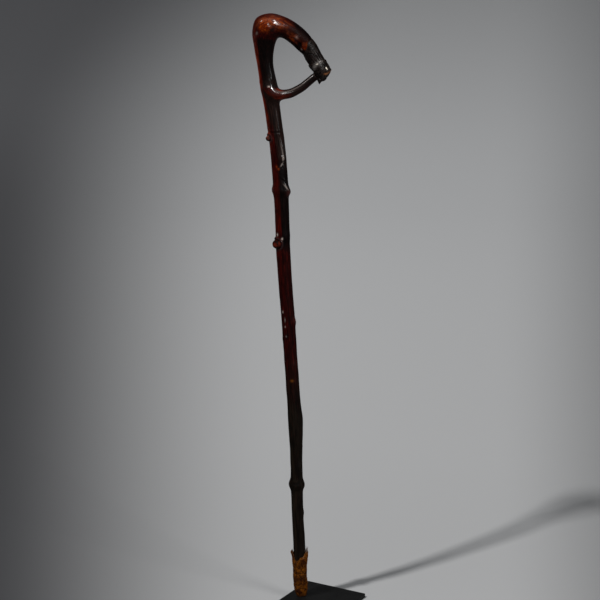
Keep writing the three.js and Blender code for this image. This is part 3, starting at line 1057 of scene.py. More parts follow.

# Red wood along the outer edge, brightened there as a painted rim light.
rim_width = 31 + 34 * (1 - step(height, 0.77, 0.85))
red_edge_and_rim_light = at_side(182, rim_width) * step(height, 0.55, 0.7) * (1 - 0.9 * step(hook_along, 26, 50))
red_edge_and_rim_light *= 1 - 0.6 * (1 - step(height, 0.82, 0.88))

under = 0.45 * step(from_rim + 12 * speckle(70, 4), 70, 125) * step(hook_along, 20, 46)
neck = step(from_rim, 30, 56) * step(height, 0.86, 0.93) * (1 - step(hook_along, 26, 44))
neck *= 1 - 0.4 * at_side(338, 24)
far_end = 0.72 * step(hook_along + 14 * speckle(60, 5), 66, 100)
front_scorch = step(from_rim + 10 * speckle(40, 6), 58, 84)
front_scorch *= 0.85 * step(height, 0.63, 0.7) * (1 - step(hook_along, 0, 30))
thin_soot = 0.35 * step(from_rim, 50, 80) * (1 - step(height, 0.63, 0.7))
soot = np.clip(np.maximum.reduce([under, neck, far_end, front_scorch, thin_soot]) - amber, 0, 1)
print("zones: amber on", int(np.sum(amber > 0.5)), "points, soot on", int(np.sum(soot > 0.5)))

# %% [markdown]
# The brace has zones of its own: sooty towards its far end, where no hand reaches, and two red
# patches. Where it grows out of the stem the two sets flow into each other. The same share later
# mixes the two grains, so no seam shows in the fork.

# %% Zones of colour on the brace
brace_share = step(stem_share - branch_share, -0.15, 0.25) * step(2.2 - branch_share, 0, 0.4)


def into_brace(on_stem_part, on_brace_part):
    """One value on the stem and another on the brace, mixed where they meet."""
    return on_stem_part * (1 - brace_share) + on_brace_part * brace_share


brace_soot = 0.2 + 0.7 * step(branch_along, 0.035, 0.065) + 0.3 * speckle(160, 21)
soot = into_brace(soot, np.clip(brace_soot, 0, 1))
brace_glow = 0.34 * falloff(branch_along - 0.03, 0.007) * at_brace_side(205, 30)
brace_glow += 0.3 * falloff(branch_along - 0.034, 0.014) * at_brace_side(300, 34)
red_edge_and_rim_light = into_brace(red_edge_and_rim_light, brace_glow)
amber = into_brace(amber, 0)
print("brace:", int(np.sum(brace_share > 0.5)), "points")

# %% [markdown]
# Handling left bright spots where knots and scar edges stand out. A grey line along the brace
# and a streak on the hook's front are painted highlights, as are most pale spots. The other pale
# spots and the tawny ones are chips that show pale or tawny wood. Noise would scatter such marks
# anywhere, so each has its own row here. Polish changes the gloss and not the colour.

# %% Polish, painted highlights and small marks
POLISHED = [
    # place along the stem in mm, side, half length, half spread in degrees, strength
    (925, 249, 7.5, 30, 1.0),
    (963, 280, 3.5, 10, 0.25),
    (842, 318, 14, 18, 0.7),
    (773, 292, 20, 17, 0.35),
    (727, 306, 14, 16, 1.0),
    (705, 303, 4, 12, 1.0),
    (672, 305, 6, 12, 1.0),
    (461, 328, 6, 16, 0.12),
]
SPOTS = [
    # name, place along the stem in mm, side, half length, half spread, turn, strength
    # Most pale spots are painted highlights on knots, scar lips, the fork and the stubs' collars;
    # the rest are pale chips and knots.
    ("pale_chip_and_painted_highlight", 824, 271, 1.3, 5.5, 0, 1.0),
    ("pale_chip_and_painted_highlight", 963, 276, 2.2, 7, 0, 0.18),
    ("pale_chip_and_painted_highlight", 982, 312, 1.2, 4, 0, 0.45),
    ("pale_chip_and_painted_highlight", 901, 234, 1.6, 5, 0, 0.16),
    ("pale_chip_and_painted_highlight", 671, 309, 3.4, 4, 3.4, 1.0),
    ("pale_chip_and_painted_highlight", 705.5, 297, 2.2, 4, -6, 1.0),
    ("pale_chip_and_painted_highlight", 724, 305, 12, 3.5, 0.6, 0.35),
    ("pale_chip_and_painted_highlight", 715, 302, 2.8, 4, 0, 0.8),
    ("pale_chip_and_painted_highlight", 597, 222, 1.7, 7, 0, 1.0),
    ("pale_chip_and_painted_highlight", 591, 266, 1.5, 5.5, 0, 1.0),
    ("pale_chip_and_painted_highlight", 474.5, 228, 1.6, 4, 0, 0.8),
    ("pale_chip_and_painted_highlight", 462, 241, 3.0, 2.8, 0, 0.5),
    ("pale_chip_and_painted_highlight", 451, 240, 1.0, 4, 0, 0.7),
    ("pale_chip_and_painted_highlight", 435.5, 243, 0.9, 3.5, 0, 0.45),
    ("tawny", 363.5, 268, 1.9, 15, 0, 0.85),
    ("tawny", 699, 262, 1.6, 8, 0, 0.9),
    ("tawny", 702.5, 249, 1.8, 6, 0, 0.7),
    ("tawny", 461, 332, 5, 16, 0, 0.45),
    ("tawny", 662, 326, 4.5, 16, 0, 0.35),
    ("tawny", 948, 288, 2.0, 7, 0, 0.35),
]

place_mm = np.where(on_hook, SHAFT_LENGTH / MM + hook_along, height * SHAFT_LENGTH / MM)
polish = np.zeros(len(points))
for place, side, length, spread, strength in POLISHED:
    patch = falloff(place_mm - place, length) * at_side(side, spread)
    polish = np.maximum(polish, strength * patch)
brace_polish = 1 - 0.95 * step(branch_along, 0.024, 0.05)
brace_polish *= 1 - 0.95 * step(side_distance(branch_side, 225), 36, 62)
polish = into_brace(polish, brace_polish)
polish = np.maximum(polish, 0.6 * np.clip(push / (1.2 * MM), 0, 1))

# Painted highlight: a grey line along the top of the brace and a streak along the hook's top.
painted_sheen = brace_share * at_brace_side(234, 9) * step(branch_along, 0.018, 0.032)
hook_sheen_side = np.interp(hook_along, [52, 61, 65, 76], [231, 243, 253, 268])
hook_sheen = at_side(hook_sheen_side, 6) * falloff(hook_along - 65, 11)
painted_sheen = np.maximum(painted_sheen, 0.4 * hook_sheen * on_hook)

marks = {"pale_chip_and_painted_highlight": np.zeros(len(points)), "tawny": np.zeros(len(points))}
for name, place, side, length, spread, turn, strength in SPOTS:
    off_line = turn_from(stem_side, side) + turn * (place_mm - place)
    spot = falloff(place_mm - place, length) * falloff(off_line, spread)
    marks[name] = np.maximum(marks[name], strength * spot * (stem_share < 1.4))
print("marks:", len(POLISHED), "polished patches and", len(SPOTS), "spots")

# %% [markdown]
# All of this goes on to the mesh for the finish to read. The shader also needs to know how the
# grain runs, so every point carries its place across, through and along its own limb.

# %% Store the grain and the zones
# This far along, the brace's pattern can't repeat the stem's.
GRAIN_SHIFT = 3


def store(mesh, name, values, kind="FLOAT"):
    """Keeps a number or a vector for each point of a mesh, under a name that shaders can read."""
    attribute = mesh.attributes.new(name, kind, "POINT")
    field = "vector" if kind == "FLOAT_VECTOR" else "value"
    attribute.data.foreach_set(field, np.asarray(values, float).ravel())


wood_mesh = grown_wood.data
for name, grain in (("stem_grain", (stem_across, stem_back, stem_along)),
                    ("brace_grain", (branch_across, branch_back, branch_along + GRAIN_SHIFT))):
    store(wood_mesh, name, np.stack(grain, axis=-1), "FLOAT_VECTOR")
crease = falloff(stub_gap - 0.2 * MM, 0.9 * MM)
wood_zones = {
    "brace_share": brace_share,
    "amber": amber,
    "red_edge_and_rim_light": red_edge_and_rim_light,
    "soot": soot,
    "stub_face": 1 - step(stub_gap, -0.2 * MM, 0.4 * MM),
    # Darker colour in the hollows, by their depth, and in the creases round the stubs.
    "darkened_hollows": np.maximum(crease, np.clip(-push / MM, 0, 1)),
    "polish": polish,
    "height": height,
    "painted_sheen": painted_sheen,
    **marks,
}
for name, values in wood_zones.items():
    store(wood_mesh, name, values)
print("stored:", sorted(wood_zones))

# %% [markdown]
# The wood's finish is layered as the real surface is: red-brown wood with darker streaks along the
# grain, amber where it is worn, soot over it, and a clear polish of wax and handling on top. The
# polish is thick on the hook and worn thin near the foot, so the highlights there are dull. Painted
# highlights, a painted rim light and a painted sheen are laid into the colour as well.

# %% Finish of the wood


def wood_finish():
    finish = Finish("old_polished_wood")
    brace_mix = finish.painted("brace_share")

    def on_both(pattern, squeeze, *numbers):
        """The same pattern along the stem's grain and along the brace's, mixed where they meet."""
        stem_value, brace_value = (
            pattern(finish.scaled(finish.stored(grain)["Vector"], (1, 1, squeeze)), *numbers)
            for grain in ("stem_grain", "brace_grain"))
        return stem_value + (brace_value - stem_value) * brace_mix

    fibre = on_both(finish.noise, 0.05, 900, 6, 0.6)
    streak = on_both(finish.noise, 0.09, 260)
    blotch = on_both(finish.noise, 0.5, 110, 5, 0.6, 0.6)
    mottle = on_both(finish.noise, 0.6, 330, 5, 0.62, 0.8)
    pores = on_both(finish.cells, 0.16, 800)

    amber, soot, red_edge_and_rim_light, darkened_hollows = finish.painted("amber", "soot", "red_edge_and_rim_light", "darkened_hollows")
    painted_sheen, tawny, pale_chip_and_painted_highlight, polish = finish.painted("painted_sheen", "tawny", "pale_chip_and_painted_highlight", "polish")
    height, stub_face = finish.painted("height", "stub_face")

    red_wood = finish.mix(streak.above(0.35, 0.68), paint(16, 1, 1), paint(36, 3, 2))
    red_wood = finish.mix(fibre.above(0.52, 0.7) * 0.75, red_wood, paint(82, 11, 4))
    old_wood = finish.mix(streak.above(0.35, 0.7), paint(9, 6, 4), paint(27, 21, 15))
    old_wood = finish.mix(fibre.above(0.56, 0.7) * 0.6, old_wood, paint(44, 14, 10))
    # The red of the outer edge, with the painted rim light in it.
    dim_glow = finish.mix(fibre.above(0.3, 0.7), paint(50, 5, 2), paint(98, 20, 6))
    bright_glow = finish.mix(fibre.above(0.3, 0.7), paint(92, 20, 5), paint(158, 50, 14))
    rim_lit_red_wood = finish.mix(height.above(0.82, 0.9), dim_glow, bright_glow)
    golden = finish.mix(mottle.above(0.42, 0.6), paint(76, 18, 1), paint(134, 56, 4))
    black = finish.mix(fibre.above(0.4, 0.72), paint(2, 1, 1), paint(14, 6, 5))
    # On the upper shaft the soot is greyer, partly as a painted sheen.
    sooty_grey_and_painted_sheen = finish.mix(fibre.above(0.35, 0.7), paint(10, 6, 5), paint(38, 24, 20))
    black = finish.mix(height.above(0.8, 0.85) * (1 - height.above(0.94, 0.985)), black, sooty_grey_and_painted_sheen)
    sooty = (soot * 1.25 + blotch * 0.6 + streak * 0.5 - 0.72).above(0.0, 0.72)
    cut_wood = finish.mix(mottle.above(0.4, 0.6), paint(52, 12, 7), paint(100, 34, 22))
    cut_wood = finish.mix(height.above(0.75, 0.8), cut_wood, paint(92, 46, 36))
    tawny_wood = finish.mix(height.above(0.45, 0.5), paint(104, 58, 14), paint(86, 20, 10))
    tawny_wood = finish.mix(height.above(0.79, 0.81), tawny_wood, paint(128, 50, 12))
    base = finish.layered(finish.mix(height.above(0.34, 0.5), old_wood, red_wood), [
        (red_edge_and_rim_light * blotch.above(0.3, 0.62) * 1.2, rim_lit_red_wood),
        (amber * blotch.above(0.25, 0.58) * 1.15, golden),
        (amber * mottle.above(0.56, 0.68) * 0.75, paint(30, 7, 4)),
        (sooty * 0.94, black),
        (stub_face, cut_wood),
        # Darker in the hollows and the stubs' creases.
        (darkened_hollows * 0.9, paint(3, 2, 2)),
        # Painted highlight along the brace and the hook's top.
        (painted_sheen * (0.2 + fibre * 0.7), paint(104, 95, 90)),
        (tawny * (0.5 + mottle * 0.6), tawny_wood),
        # Mostly painted highlights, with a few pale chips.
        (pale_chip_and_painted_highlight * (0.4 + mottle * 0.8), paint(200, 184, 174)),
        ((1 - pores.above(0.0, 0.25)) * 0.5, paint(10, 4, 3)),
    ])

    smooth = height.above(0.2, 0.75)
    grain_bump = finish.bump(fibre * 0.5 + streak * 0.8, 0.0007, 0.5)
    lumps = finish.bump(blotch, 0.002, 0.4, grain_bump)
    pitted = finish.bump(pores.above(0.0, 0.3), 0.0004, 0.5, lumps)
    return finish.surface({
        "Base Color": base,
        "Roughness": 0.6 - smooth * 0.15 + mottle * 0.1,
        "Specular IOR Level": 0.03,
        "Coat Weight": (polish * 0.9 + smooth * 0.005 - darkened_hollows * 0.4).clamped(),
        "Coat Roughness": 0.14,
        "Coat IOR": 1.5,
        "Normal": pitted,
        "Coat Normal": finish.bump(blotch, 0.002, 0.09),
    })


grown_wood.data.materials.clear()
grown_wood.data.materials.append(wood_finish())
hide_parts("staff_wood")
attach(grown_wood, "staff")
print("finish:", grown_wood.data.materials[0].name)

# %% [markdown]
# The hide was put on wet and shrank tight as it dried. A cloth simulation could shrink it too, but
# it would have to be run again after each change. Each sleeve here is a closed tube: rows of
# points on the stem's own surface, lifted by the hide's thickness, with folds and creases added
# to the outside only. The same few functions serve all the hide on the stem.

# %% Rows of hide on the stem
HOOK_END = (outer_line[-1] + inner_line[-1]) / 2
END_WAY = unit_rows(np.diff((outer_line + inner_line)[-2:] / 2, axis=0))[0]


def stem_surface(places, degrees, grow, past=0.0):
    """Points on the stem's surface, grown outwards, and carried past the hook's end."""
    shape = np.broadcast(places, degrees, grow, past).shape
    places, degrees = np.broadcast_to(places, shape), np.broadcast_to(degrees, shape)
    outer = smooth_line(outer_line, places.ravel()).reshape(*shape, 3)
    inner = smooth_line(inner_line, places.ravel()).reshape(*shape, 3)
    middle, offset = (outer + inner) / 2, (inner - outer) / 2
    half = np.linalg.norm(offset, axis=-1)
    on_shaft = places < HOOK_BASE
    height = middle[..., 2] - FOOT_END
    sway = stem_sway(height) * on_shaft
    swell = knot_swell(height, degrees) * on_shaft + grow
    angle = np.radians(degrees)
    across = (np.cos(angle) * (half + swell) / half)[..., None] * offset
    back = (np.sin(angle) * (half * STEM_DEPTH + swell) + sway)[..., None] * BACK
    return middle + across + back + np.asarray(past)[..., None] * END_WAY


def folds(degrees, along, turns, length, seed):
    """Noise from -1 to 1 over a tube: so many folds in a turn, each so many mm long."""
    shape = np.broadcast(degrees, along).shape
    angle = np.radians(np.broadcast_to(degrees, shape))
    return ridge_noise(angle, np.broadcast_to(along, shape), turns / (2 * math.pi), length, seed)


def creased(values, width):
    """1 along the lines where smooth noise passes through nought, falling off beside them."""
    return falloff(values, width)


def dress(piece, node, material):
    piece.data.materials.clear()
    piece.data.materials.append(material)
    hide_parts(node)
    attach(piece, "staff")


print("hook's end at", np.round(HOOK_END, 4).tolist(), "going", np.round(END_WAY, 2).tolist())

# %% [markdown]
# The crook's sleeve is thin hide pulled over the end of the hook. Its upper edge was cut by eye,
# so it wanders, and a few stretched creases run down to the wrap that binds it. Bump shading
# would leave the outline smooth, so the creases are in the mesh.

# %% Sleeve on the crook
# The span, the slant and what stays bare at the end are counted in stations of the stem.
CROOK_SPAN = 3.2
CROOK_SLANT = 0.38
CROOK_SHORT = 0.15
CROOK_LENGTH_MM = 52
CROOK_SIDES = 180
CROOK_ROWS = 110
CROOK_INNER_ROWS = 24


def crook_sleeve_rings():
    degrees = sides_of(CROOK_SIDES)
    start = STEM_END - CROOK_SPAN - CROOK_SLANT * np.cos(np.radians(degrees - 222))
    start = start + 0.2 * folds(degrees, 0, 9, 1, 31)
    span = STEM_END - CROOK_SHORT - start
    share = np.linspace(0, 1, CROOK_ROWS)[:, None]
    along = share * CROOK_LENGTH_MM
    swing = degrees + 14 * folds(degrees, along, 4, 30, 32)
    long_folds = folds(swing, along, 16, 55, 33)
    cross_folds = folds(degrees, along + 0.12 * swing, 7, 9, 34)
    some_places = step(folds(degrees, along, 5, 14, 36), -0.1, 0.3)
    lift = 1.3 + 0.6 * folds(degrees, along, 5, 16, 35)
    lift = lift - 0.85 * creased(long_folds, 0.12) * step(share, 0.15, 0.5)
    lift = lift - 0.6 * creased(cross_folds, 0.1) * some_places
    lift = np.maximum(lift, 0.3) * (0.4 + 0.6 * step(share, 0, 0.2)) * step(share, -0.03, 0.015)
    outside = stem_surface(start + span * share, degrees, lift * MM)
    inner_share = np.linspace(1, 0, CROOK_INNER_ROWS)[:, None]
    inside = stem_surface(start + span * inner_share, degrees, -0.1 * MM)
    return np.concatenate([outside, inside])


crook_hide = piece_of("crook_hide", tube_mesh("crook_hide", crook_sleeve_rings()))
print("crook hide:", len(crook_hide.data.polygons), "faces")

# %% [markdown]
# Round the joint the hide is wound in several turns. A strip could be swept along a spiral, but
# the turns have shrunk into one skin, so this is one tube whose thickness tells of them. The cup
# that holds the hook's end to the brace has a smooth stretched front, ridges where the turns lie
# over each other on the outer side, and a raw, paler lower edge that turns up into a corner.

# %% Wrap round the joint
# The span is counted in stations of the stem. The thicknesses are in mm.
WRAP_SPAN = 1.66
WRAP_SIDE_SHARE = 0.86
WRAP_LENGTH_MM = 19
WRAP_INSIDE = 1.6
WRAP_UNDERCUT = 0.25
WRAP_WALL = 1.3
WRAP_FLOOR = 2.8
WRAP_GAP = 0.3
WRAP_SIDES = 180
WRAP_ROWS = 90
TURN_PITCH = 5.2


def wrap_lift(degrees, along):
    """The hide's thickness in mm: turns and ridges outside, and a stretched facet in front."""
    outer_part = step(130 - side_distance(degrees, 180), 55, 95)
    ridges = folds(degrees + 2.0 * along, along, 26, 16, 42)
    turns = (along / TURN_PITCH + degrees / 360 + 0.12 * folds(degrees, along, 5, 12, 43)) % 1
    lift = WRAP_WALL * (0.72 + 0.28 * turns)
    lift = lift + (0.45 * ridges - 0.7 * creased(ridges, 0.16)) * outer_part
    facet = falloff(side_distance(degrees, 266 + 2 * along), 24)
    lift = lift * (1 - 0.8 * facet) + facet * 1.7 * step(along, 0.2, 6.5)
    return np.clip(lift + 0.55 * falloff(along - 17.2, 1.3), 0.25, 2.3)


def wrap_rings():
    degrees = sides_of(WRAP_SIDES)
    share = np.linspace(0, 1, WRAP_ROWS)[:, None]
    start = STEM_END - WRAP_SPAN + 0.09 * folds(degrees, 0, 4, 1, 41)
    places = start + (STEM_END - start) * np.minimum(share / WRAP_SIDE_SHARE, 1)
    past = np.clip((share - WRAP_SIDE_SHARE) / (1 - WRAP_SIDE_SHARE), 0, 1)
    past = (WRAP_GAP + WRAP_FLOOR) * MM * past
    lift = wrap_lift(degrees, share * WRAP_LENGTH_MM) * step(share, -0.05, 0.03)
    outside = stem_surface(places, degrees, (WRAP_INSIDE + lift) * MM, past)
    middle = outside[-1].mean(axis=0)
    closing = [middle + (outside[-1] - middle) * inset + END_WAY * (0.4 * MM * (1 - inset))
               for inset in (0.93, 0.8, 0.6, 0.35, 0.12)]
    deep = closing[-1] - END_WAY * WRAP_FLOOR * MM
    inner_places = np.array([STEM_END, STEM_END - 0.6, STEM_END - 1.2, 0])[:, None] + 0 * degrees
    inner_places[-1] = start[0]
    inside = stem_surface(inner_places, degrees, WRAP_INSIDE * MM - WRAP_UNDERCUT * MM)
    middle = inside[0].mean(axis=0)
    floor = [middle + (inside[0] - middle) * inset for inset in (0.12, 0.5, 0.85)]
    return np.concatenate([outside, closing, [deep], floor, inside])


joint_hide = piece_of("joint_hide", tube_mesh("joint_hide", wrap_rings()))
print("joint hide:", len(joint_hide.data.polygons), "faces")

# %% [markdown]
# What was left over of the hide is bunched under the joint and tied off there. It is a short
# tapering lump with deep folds, and its corner stands away from the brace. Like the stem it is a
# loft between two outlines. The brace runs through the joint and the tail, so a slightly grown
# copy of it is cut out of both.

# %% Bunched tail of the wrap
TAIL_STATIONS = [
    # outer x, outer z, inner x, inner z
    (14, 1, -14.2, -1.3),
    (11.4, -6, -12.6, -6),
    (8.1, -10.6, -9.9, -10.6),
    (3.8, -14.9, -7.5, -14.7),
    (-1.1, -16.6, -6.1, -17),
    (-3.6, -20, -4.4, -20.4),
]
TAIL_DEPTH = 0.82
TAIL_STATION_MM = 4.5
TAIL_SIDES = 160
TAIL_ROWS = 80
BRACE_ROOM = 0.05 * MM
BRACE_STEP = 1.5 * MM


def tail_rings():
    top = HOOK_END + END_WAY * (WRAP_GAP + WRAP_FLOOR) * MM
    stations = np.array(TAIL_STATIONS) * (HOOK_REACH / 100)
    outer = stations[:, [0, 0, 1]] * (1, 0, 1) + top
    inner = stations[:, [2, 2, 3]] * (1, 0, 1) + top
    places = np.linspace(0, len(stations) - 1, TAIL_ROWS)
    degrees = sides_of(TAIL_SIDES)
    along = places[:, None] * TAIL_STATION_MM
    outer, inner = smooth_line(outer, places), smooth_line(inner, places)
    middle, offset = (outer + inner) / 2, (outer - inner) / 2
    half = np.linalg.norm(offset, axis=1)[:, None]
    lumps = folds(degrees, along, 5, 9, 51)
    ridges = folds(degrees + 25 * lumps, along, 9, 8, 52)
    fine = folds(degrees, along, 20, 4, 53)
    lift = 0.9 * lumps + 0.9 * ridges - 1.1 * creased(ridges, 0.14) - 0.35 * creased(fine, 0.2)
    lift = np.clip(lift, -1.8, 0.9) * np.minimum(half / MM / 4, 1) * MM
    angle = np.radians(degrees)
    across = (np.cos(angle) * ((half + lift) / half))[..., None] * offset[:, None, :]
    back = (np.sin(angle) * (half * TAIL_DEPTH + lift))[..., None] * BACK
    return middle[:, None, :] + across + back


tail_hide = piece_of("tail_hide", mesh_from_rings("tail_hide", tail_rings()))
grown_brace = loft("grown_brace", branch_limb(BRACE_STEP, BRACE_ROOM), BRANCH_SIDES, branch_swell)
for hide in (joint_hide, tail_hide):
    combine(hide, piece_of("grown_brace", grown_brace), "DIFFERENCE")
print("tail hide:", len(tail_hide.data.polygons), "faces")

# %% [markdown]
# The foot's sleeve is rawer: ochre hide with some hair left on it, drawn up round the shaft
# like a stocking. Its top is torn into flaps with a notch in front, and its folds sag towards
# the hem, where it stands off the wood. A plain tube with its edge moved up and down keeps the
# hide whole, where cutting the flaps out would leave ragged faces.

# %% Sleeve on the foot
FOOT_TOP = 73
FOOT_WALL = 1.9
FOOT_SLACK = [(0.6, -0.4), (14, 0.2), (38, 0), (54, 0.5), (70, 0.9), (90, 1.4)]
FOOT_FLAPS = [
    # side, rise in mm, half spread in degrees
    (226, -9, 18),
    (252, -9, 20),
    (292, -5, 26),
    (184, 7, 11),
    (352, 5, 22),
    (95, 4, 34),
    (130, -5, 18),
]
FOOT_SIDES = 200
FOOT_ROWS = 150
FOOT_INNER_ROWS = 30
FOOT_GAP = 0.05

heights_mm = (stem.middle[:, 2] - FOOT_END) / MM
shaft_rows = stem.places < HOOK_BASE


def places_at(height_mm):
    return np.interp(height_mm, heights_mm[shaft_rows], stem.places[shaft_rows])


def foot_edge(degrees):
    edge = FOOT_TOP + 1.6 * folds(degrees, 0, 14, 1, 61) + 0.7 * folds(degrees, 0, 40, 1, 62)
    for side, rise, spread in FOOT_FLAPS:
        edge = edge + rise * falloff(side_distance(degrees, side), spread)
    return edge


def flap_gap(degrees, height_mm):
    """How far the left flap's tip curls away from the wood, in mm."""
    return 2.3 * falloff(side_distance(degrees, 186), 15) * step(height_mm, 64, 78)


def foot_lift(degrees, height_mm, share):
    swing = degrees + 16 * folds(degrees, height_mm, 3, 26, 63)
    sag = folds(swing, height_mm + 0.05 * degrees, 5, 9, 64)
    long_folds = folds(swing, height_mm, 11, 34, 65)
    lift = FOOT_WALL + np.interp(height_mm, *zip(*FOOT_SLACK))
    lift = lift + 0.55 * sag + 0.4 * long_folds
    lift = lift - 0.8 * creased(sag, 0.09) * step(height_mm, 6, 20) * step(70 - height_mm, 0, 12)
    lift = lift - 0.9 * creased(long_folds, 0.1) * step(height_mm, 20, 46)
    lift = lift + flap_gap(degrees, height_mm)
    right = falloff(side_distance(degrees, 350), 30)
    lift = lift + right * (1.7 * step(height_mm, 50, 66) + 0.9 * step(30 - height_mm, 0, 12))
    return np.maximum(lift, 0.5) * (1 - 0.55 * step(share, 0.93, 1.0))


def foot_sleeve_rings():
    degrees = sides_of(FOOT_SIDES)
    hem = FOOT_SLACK[0][0] + 0.3 * folds(degrees, 0, 9, 1, 66)
    edge = foot_edge(degrees)
    share = np.linspace(0, 1, FOOT_ROWS)[:, None]
    height_mm = hem + (edge - hem) * share
    outside = stem_surface(places_at(height_mm), degrees, foot_lift(degrees, height_mm, share) * MM)
    inner_height = hem + (edge - hem) * np.linspace(1, 0, FOOT_INNER_ROWS)[:, None]
    gap = FOOT_GAP + flap_gap(degrees, inner_height)
    inside = stem_surface(places_at(inner_height), degrees, gap * MM)
    return np.concatenate([outside, inside])


foot_hide = piece_of("foot_hide", tube_mesh("foot_hide", foot_sleeve_rings()))
print("foot hide:", len(foot_hide.data.polygons), "faces")

# %% [markdown]
# Both hides are dull in their creases and catch the light on what stands out. Their colour is
# also painted darker in the creases as shade, and lighter on the dark hide's ridges as a painted
# highlight. The mesh itself tells which is which: each point is set against the smoothed place of
# its neighbours. A shader can work this out too, but a stored number can be measured and looks the
# same in any program.

# %% What the hides share


def pointiness(piece, reach=0.25 * MM):
    """How far each point stands out of its surroundings, from -1 to 1."""
    spots = points_of(piece.data)
    smooth = spots.copy()
    for _ in range(6):
        smooth = neighbour_means(piece.data, smooth)
    out = np.sum((spots - smooth) * normals_of(piece.data), axis=1)
    return np.clip(out / reach, -1, 1)


def hide_surface(finish, base, grain_scale, roughness, shine, folds_dull):
    place = finish.place()
    grain = finish.cells(place, grain_scale)
    fine = finish.noise(place, grain_scale * 0.8)
    lumps = finish.noise(place, 260)
    low = finish.bump(lumps, 0.0012, 0.5)
    bumpy = finish.bump(grain * 0.6 + fine * 0.6, 0.0003, 0.6, low)
    return finish.surface({
        "Base Color": base,
        "Roughness": (roughness + lumps * 0.2 - 0.1 + folds_dull * 0.2).clamped(),
        "Specular IOR Level": 0.05,
        "Coat Weight": (shine * (1 - folds_dull)).clamped(),
        "Coat Roughness": 0.2,
        "Normal": bumpy,
        "Coat Normal": low,
    })


for hide in (crook_hide, joint_hide, tail_hide, foot_hide):
    store(hide.data, "out", pointiness(hide))
print("hides:", [hide.name for hide in (crook_hide, joint_hide, tail_hide, foot_hide)])

# %% [markdown]
# Dark hide is worn smooth and waxy, almost like horn, so it shines on the ridges and stays dull
# in the creases. Where it was cut, the raw edge shows its tan core, and the stretched front of
# the wrap has a painted highlight with a painted glint in it. These follow short lines near the
# hook's end, and a broad painted sheen lies on one side of the hides there.

# %% Dark waxed hide
CUT_EDGE = [(5.4, -9.5, -7.7), (7.4, -9.3, -7.3), (11, -8.6, -6.6), (16.6, -3, -2.6)]
GLINT = [(8.9, -11.3, -0.1), (7.7, -11.3, 2.4)]
PAINTED_FACET_HIGHLIGHT = [(-12, -11.5, 0.4), (-7.5, -13.4, 7.3), (-0.5, -12, 12)]
FACET_SPARK = [(-7.5, -13.4, 7.3), (-5.1, -13.4, 7.9)]
CROOK_SHEEN_SIDE = 246


def dark_hide_finish():
    finish = Finish("dark_waxed_hide")
    place = finish.place()
    patches = finish.noise(place, 140, 5, 0.6)
    stain = finish.noise(place, 420, 4, 0.6)
    out, painted_sheen, raw, glint, facet = finish.painted("out", "painted_sheen", "raw", "glint", "facet")
    # A broad painted sheen lightens one side of the hides at the hook's end.
    hide_and_painted_sheen = finish.mix(painted_sheen, paint(19, 11, 8), paint(37, 32, 29))
    base = finish.layered(finish.mix(patches.above(0.38, 0.62), paint(5, 3, 2), hide_and_painted_sheen), [
        (stain.above(0.52, 0.7) * 0.6, paint(34, 12, 8)),
        # Painted highlight on what stands out and painted shade in the creases.
        (out.above(0.15, 0.8) * 0.2, paint(62, 52, 46)),
        ((-1 * out).above(0.02, 0.5), paint(5, 3, 3)),
        (raw * stain.above(0.2, 0.5), paint(128, 82, 50)),
        # Painted highlight on the wrap's stretched front, and painted glints.
        (facet * (0.4 + stain * 0.7), paint(94, 89, 85)),
        (glint.above(0.3, 0.8), paint(240, 230, 214)),
    ])
    shine = patches.above(0.25, 0.6) * 0.06 + 0.02 + (glint + facet) * 0.4
    return hide_surface(finish, base, 1500, 0.4, shine, (-1 * out).above(0.0, 0.5))


def near_line(piece, offsets, reach):
    """1 on a line through some points, given in mm from the hook's end, and less beside it."""
    spots = (points_of(piece.data) - HOOK_END) / MM
    nearest = np.full(len(spots), 1e3)
    for start, end in zip(offsets, offsets[1:]):
        start, way = np.array(start), np.array(end) - np.array(start)
        share = np.clip((spots - start) @ way / (way @ way), 0, 1)
        nearest = np.minimum(nearest, np.linalg.norm(spots - start - share[:, None] * way, axis=1))
    return falloff(nearest, reach)


dark_hide = dark_hide_finish()
for piece, node in (
        (crook_hide, "crook_sleeve"), (joint_hide, "joint_wrap"), (tail_hide, "tail_wrap")):
    side = stem.local(points_of(piece.data))[3]
    # Painted glints on the wrap.
    glint = near_line(piece, GLINT, 1.3) + 0.6 * near_line(piece, FACET_SPARK, 1.3)
    store(piece.data, "raw", near_line(piece, CUT_EDGE, 1.5))
    store(piece.data, "glint", glint)
    store(piece.data, "facet", near_line(piece, PAINTED_FACET_HIGHLIGHT, 2.8))
    # Painted sheen round one side of the hides.
    store(piece.data, "painted_sheen", falloff(side_distance(side, CROOK_SHEEN_SIDE), 32))
    dress(piece, node, dark_hide)
print("dark hide:", dark_hide.name)

# %% [markdown]
# Ochre hide is dry and fibrous, stained red-brown in patches, with painted shade in its folds and
# grey dust on the torn edge. A darker band runs round it below the middle, and its hem by the plate
# and the left flap are painted darker as shade. The band could be a ring in the shader, but stored
# on the points it can waver with the folds.

# %% Raw ochre hide


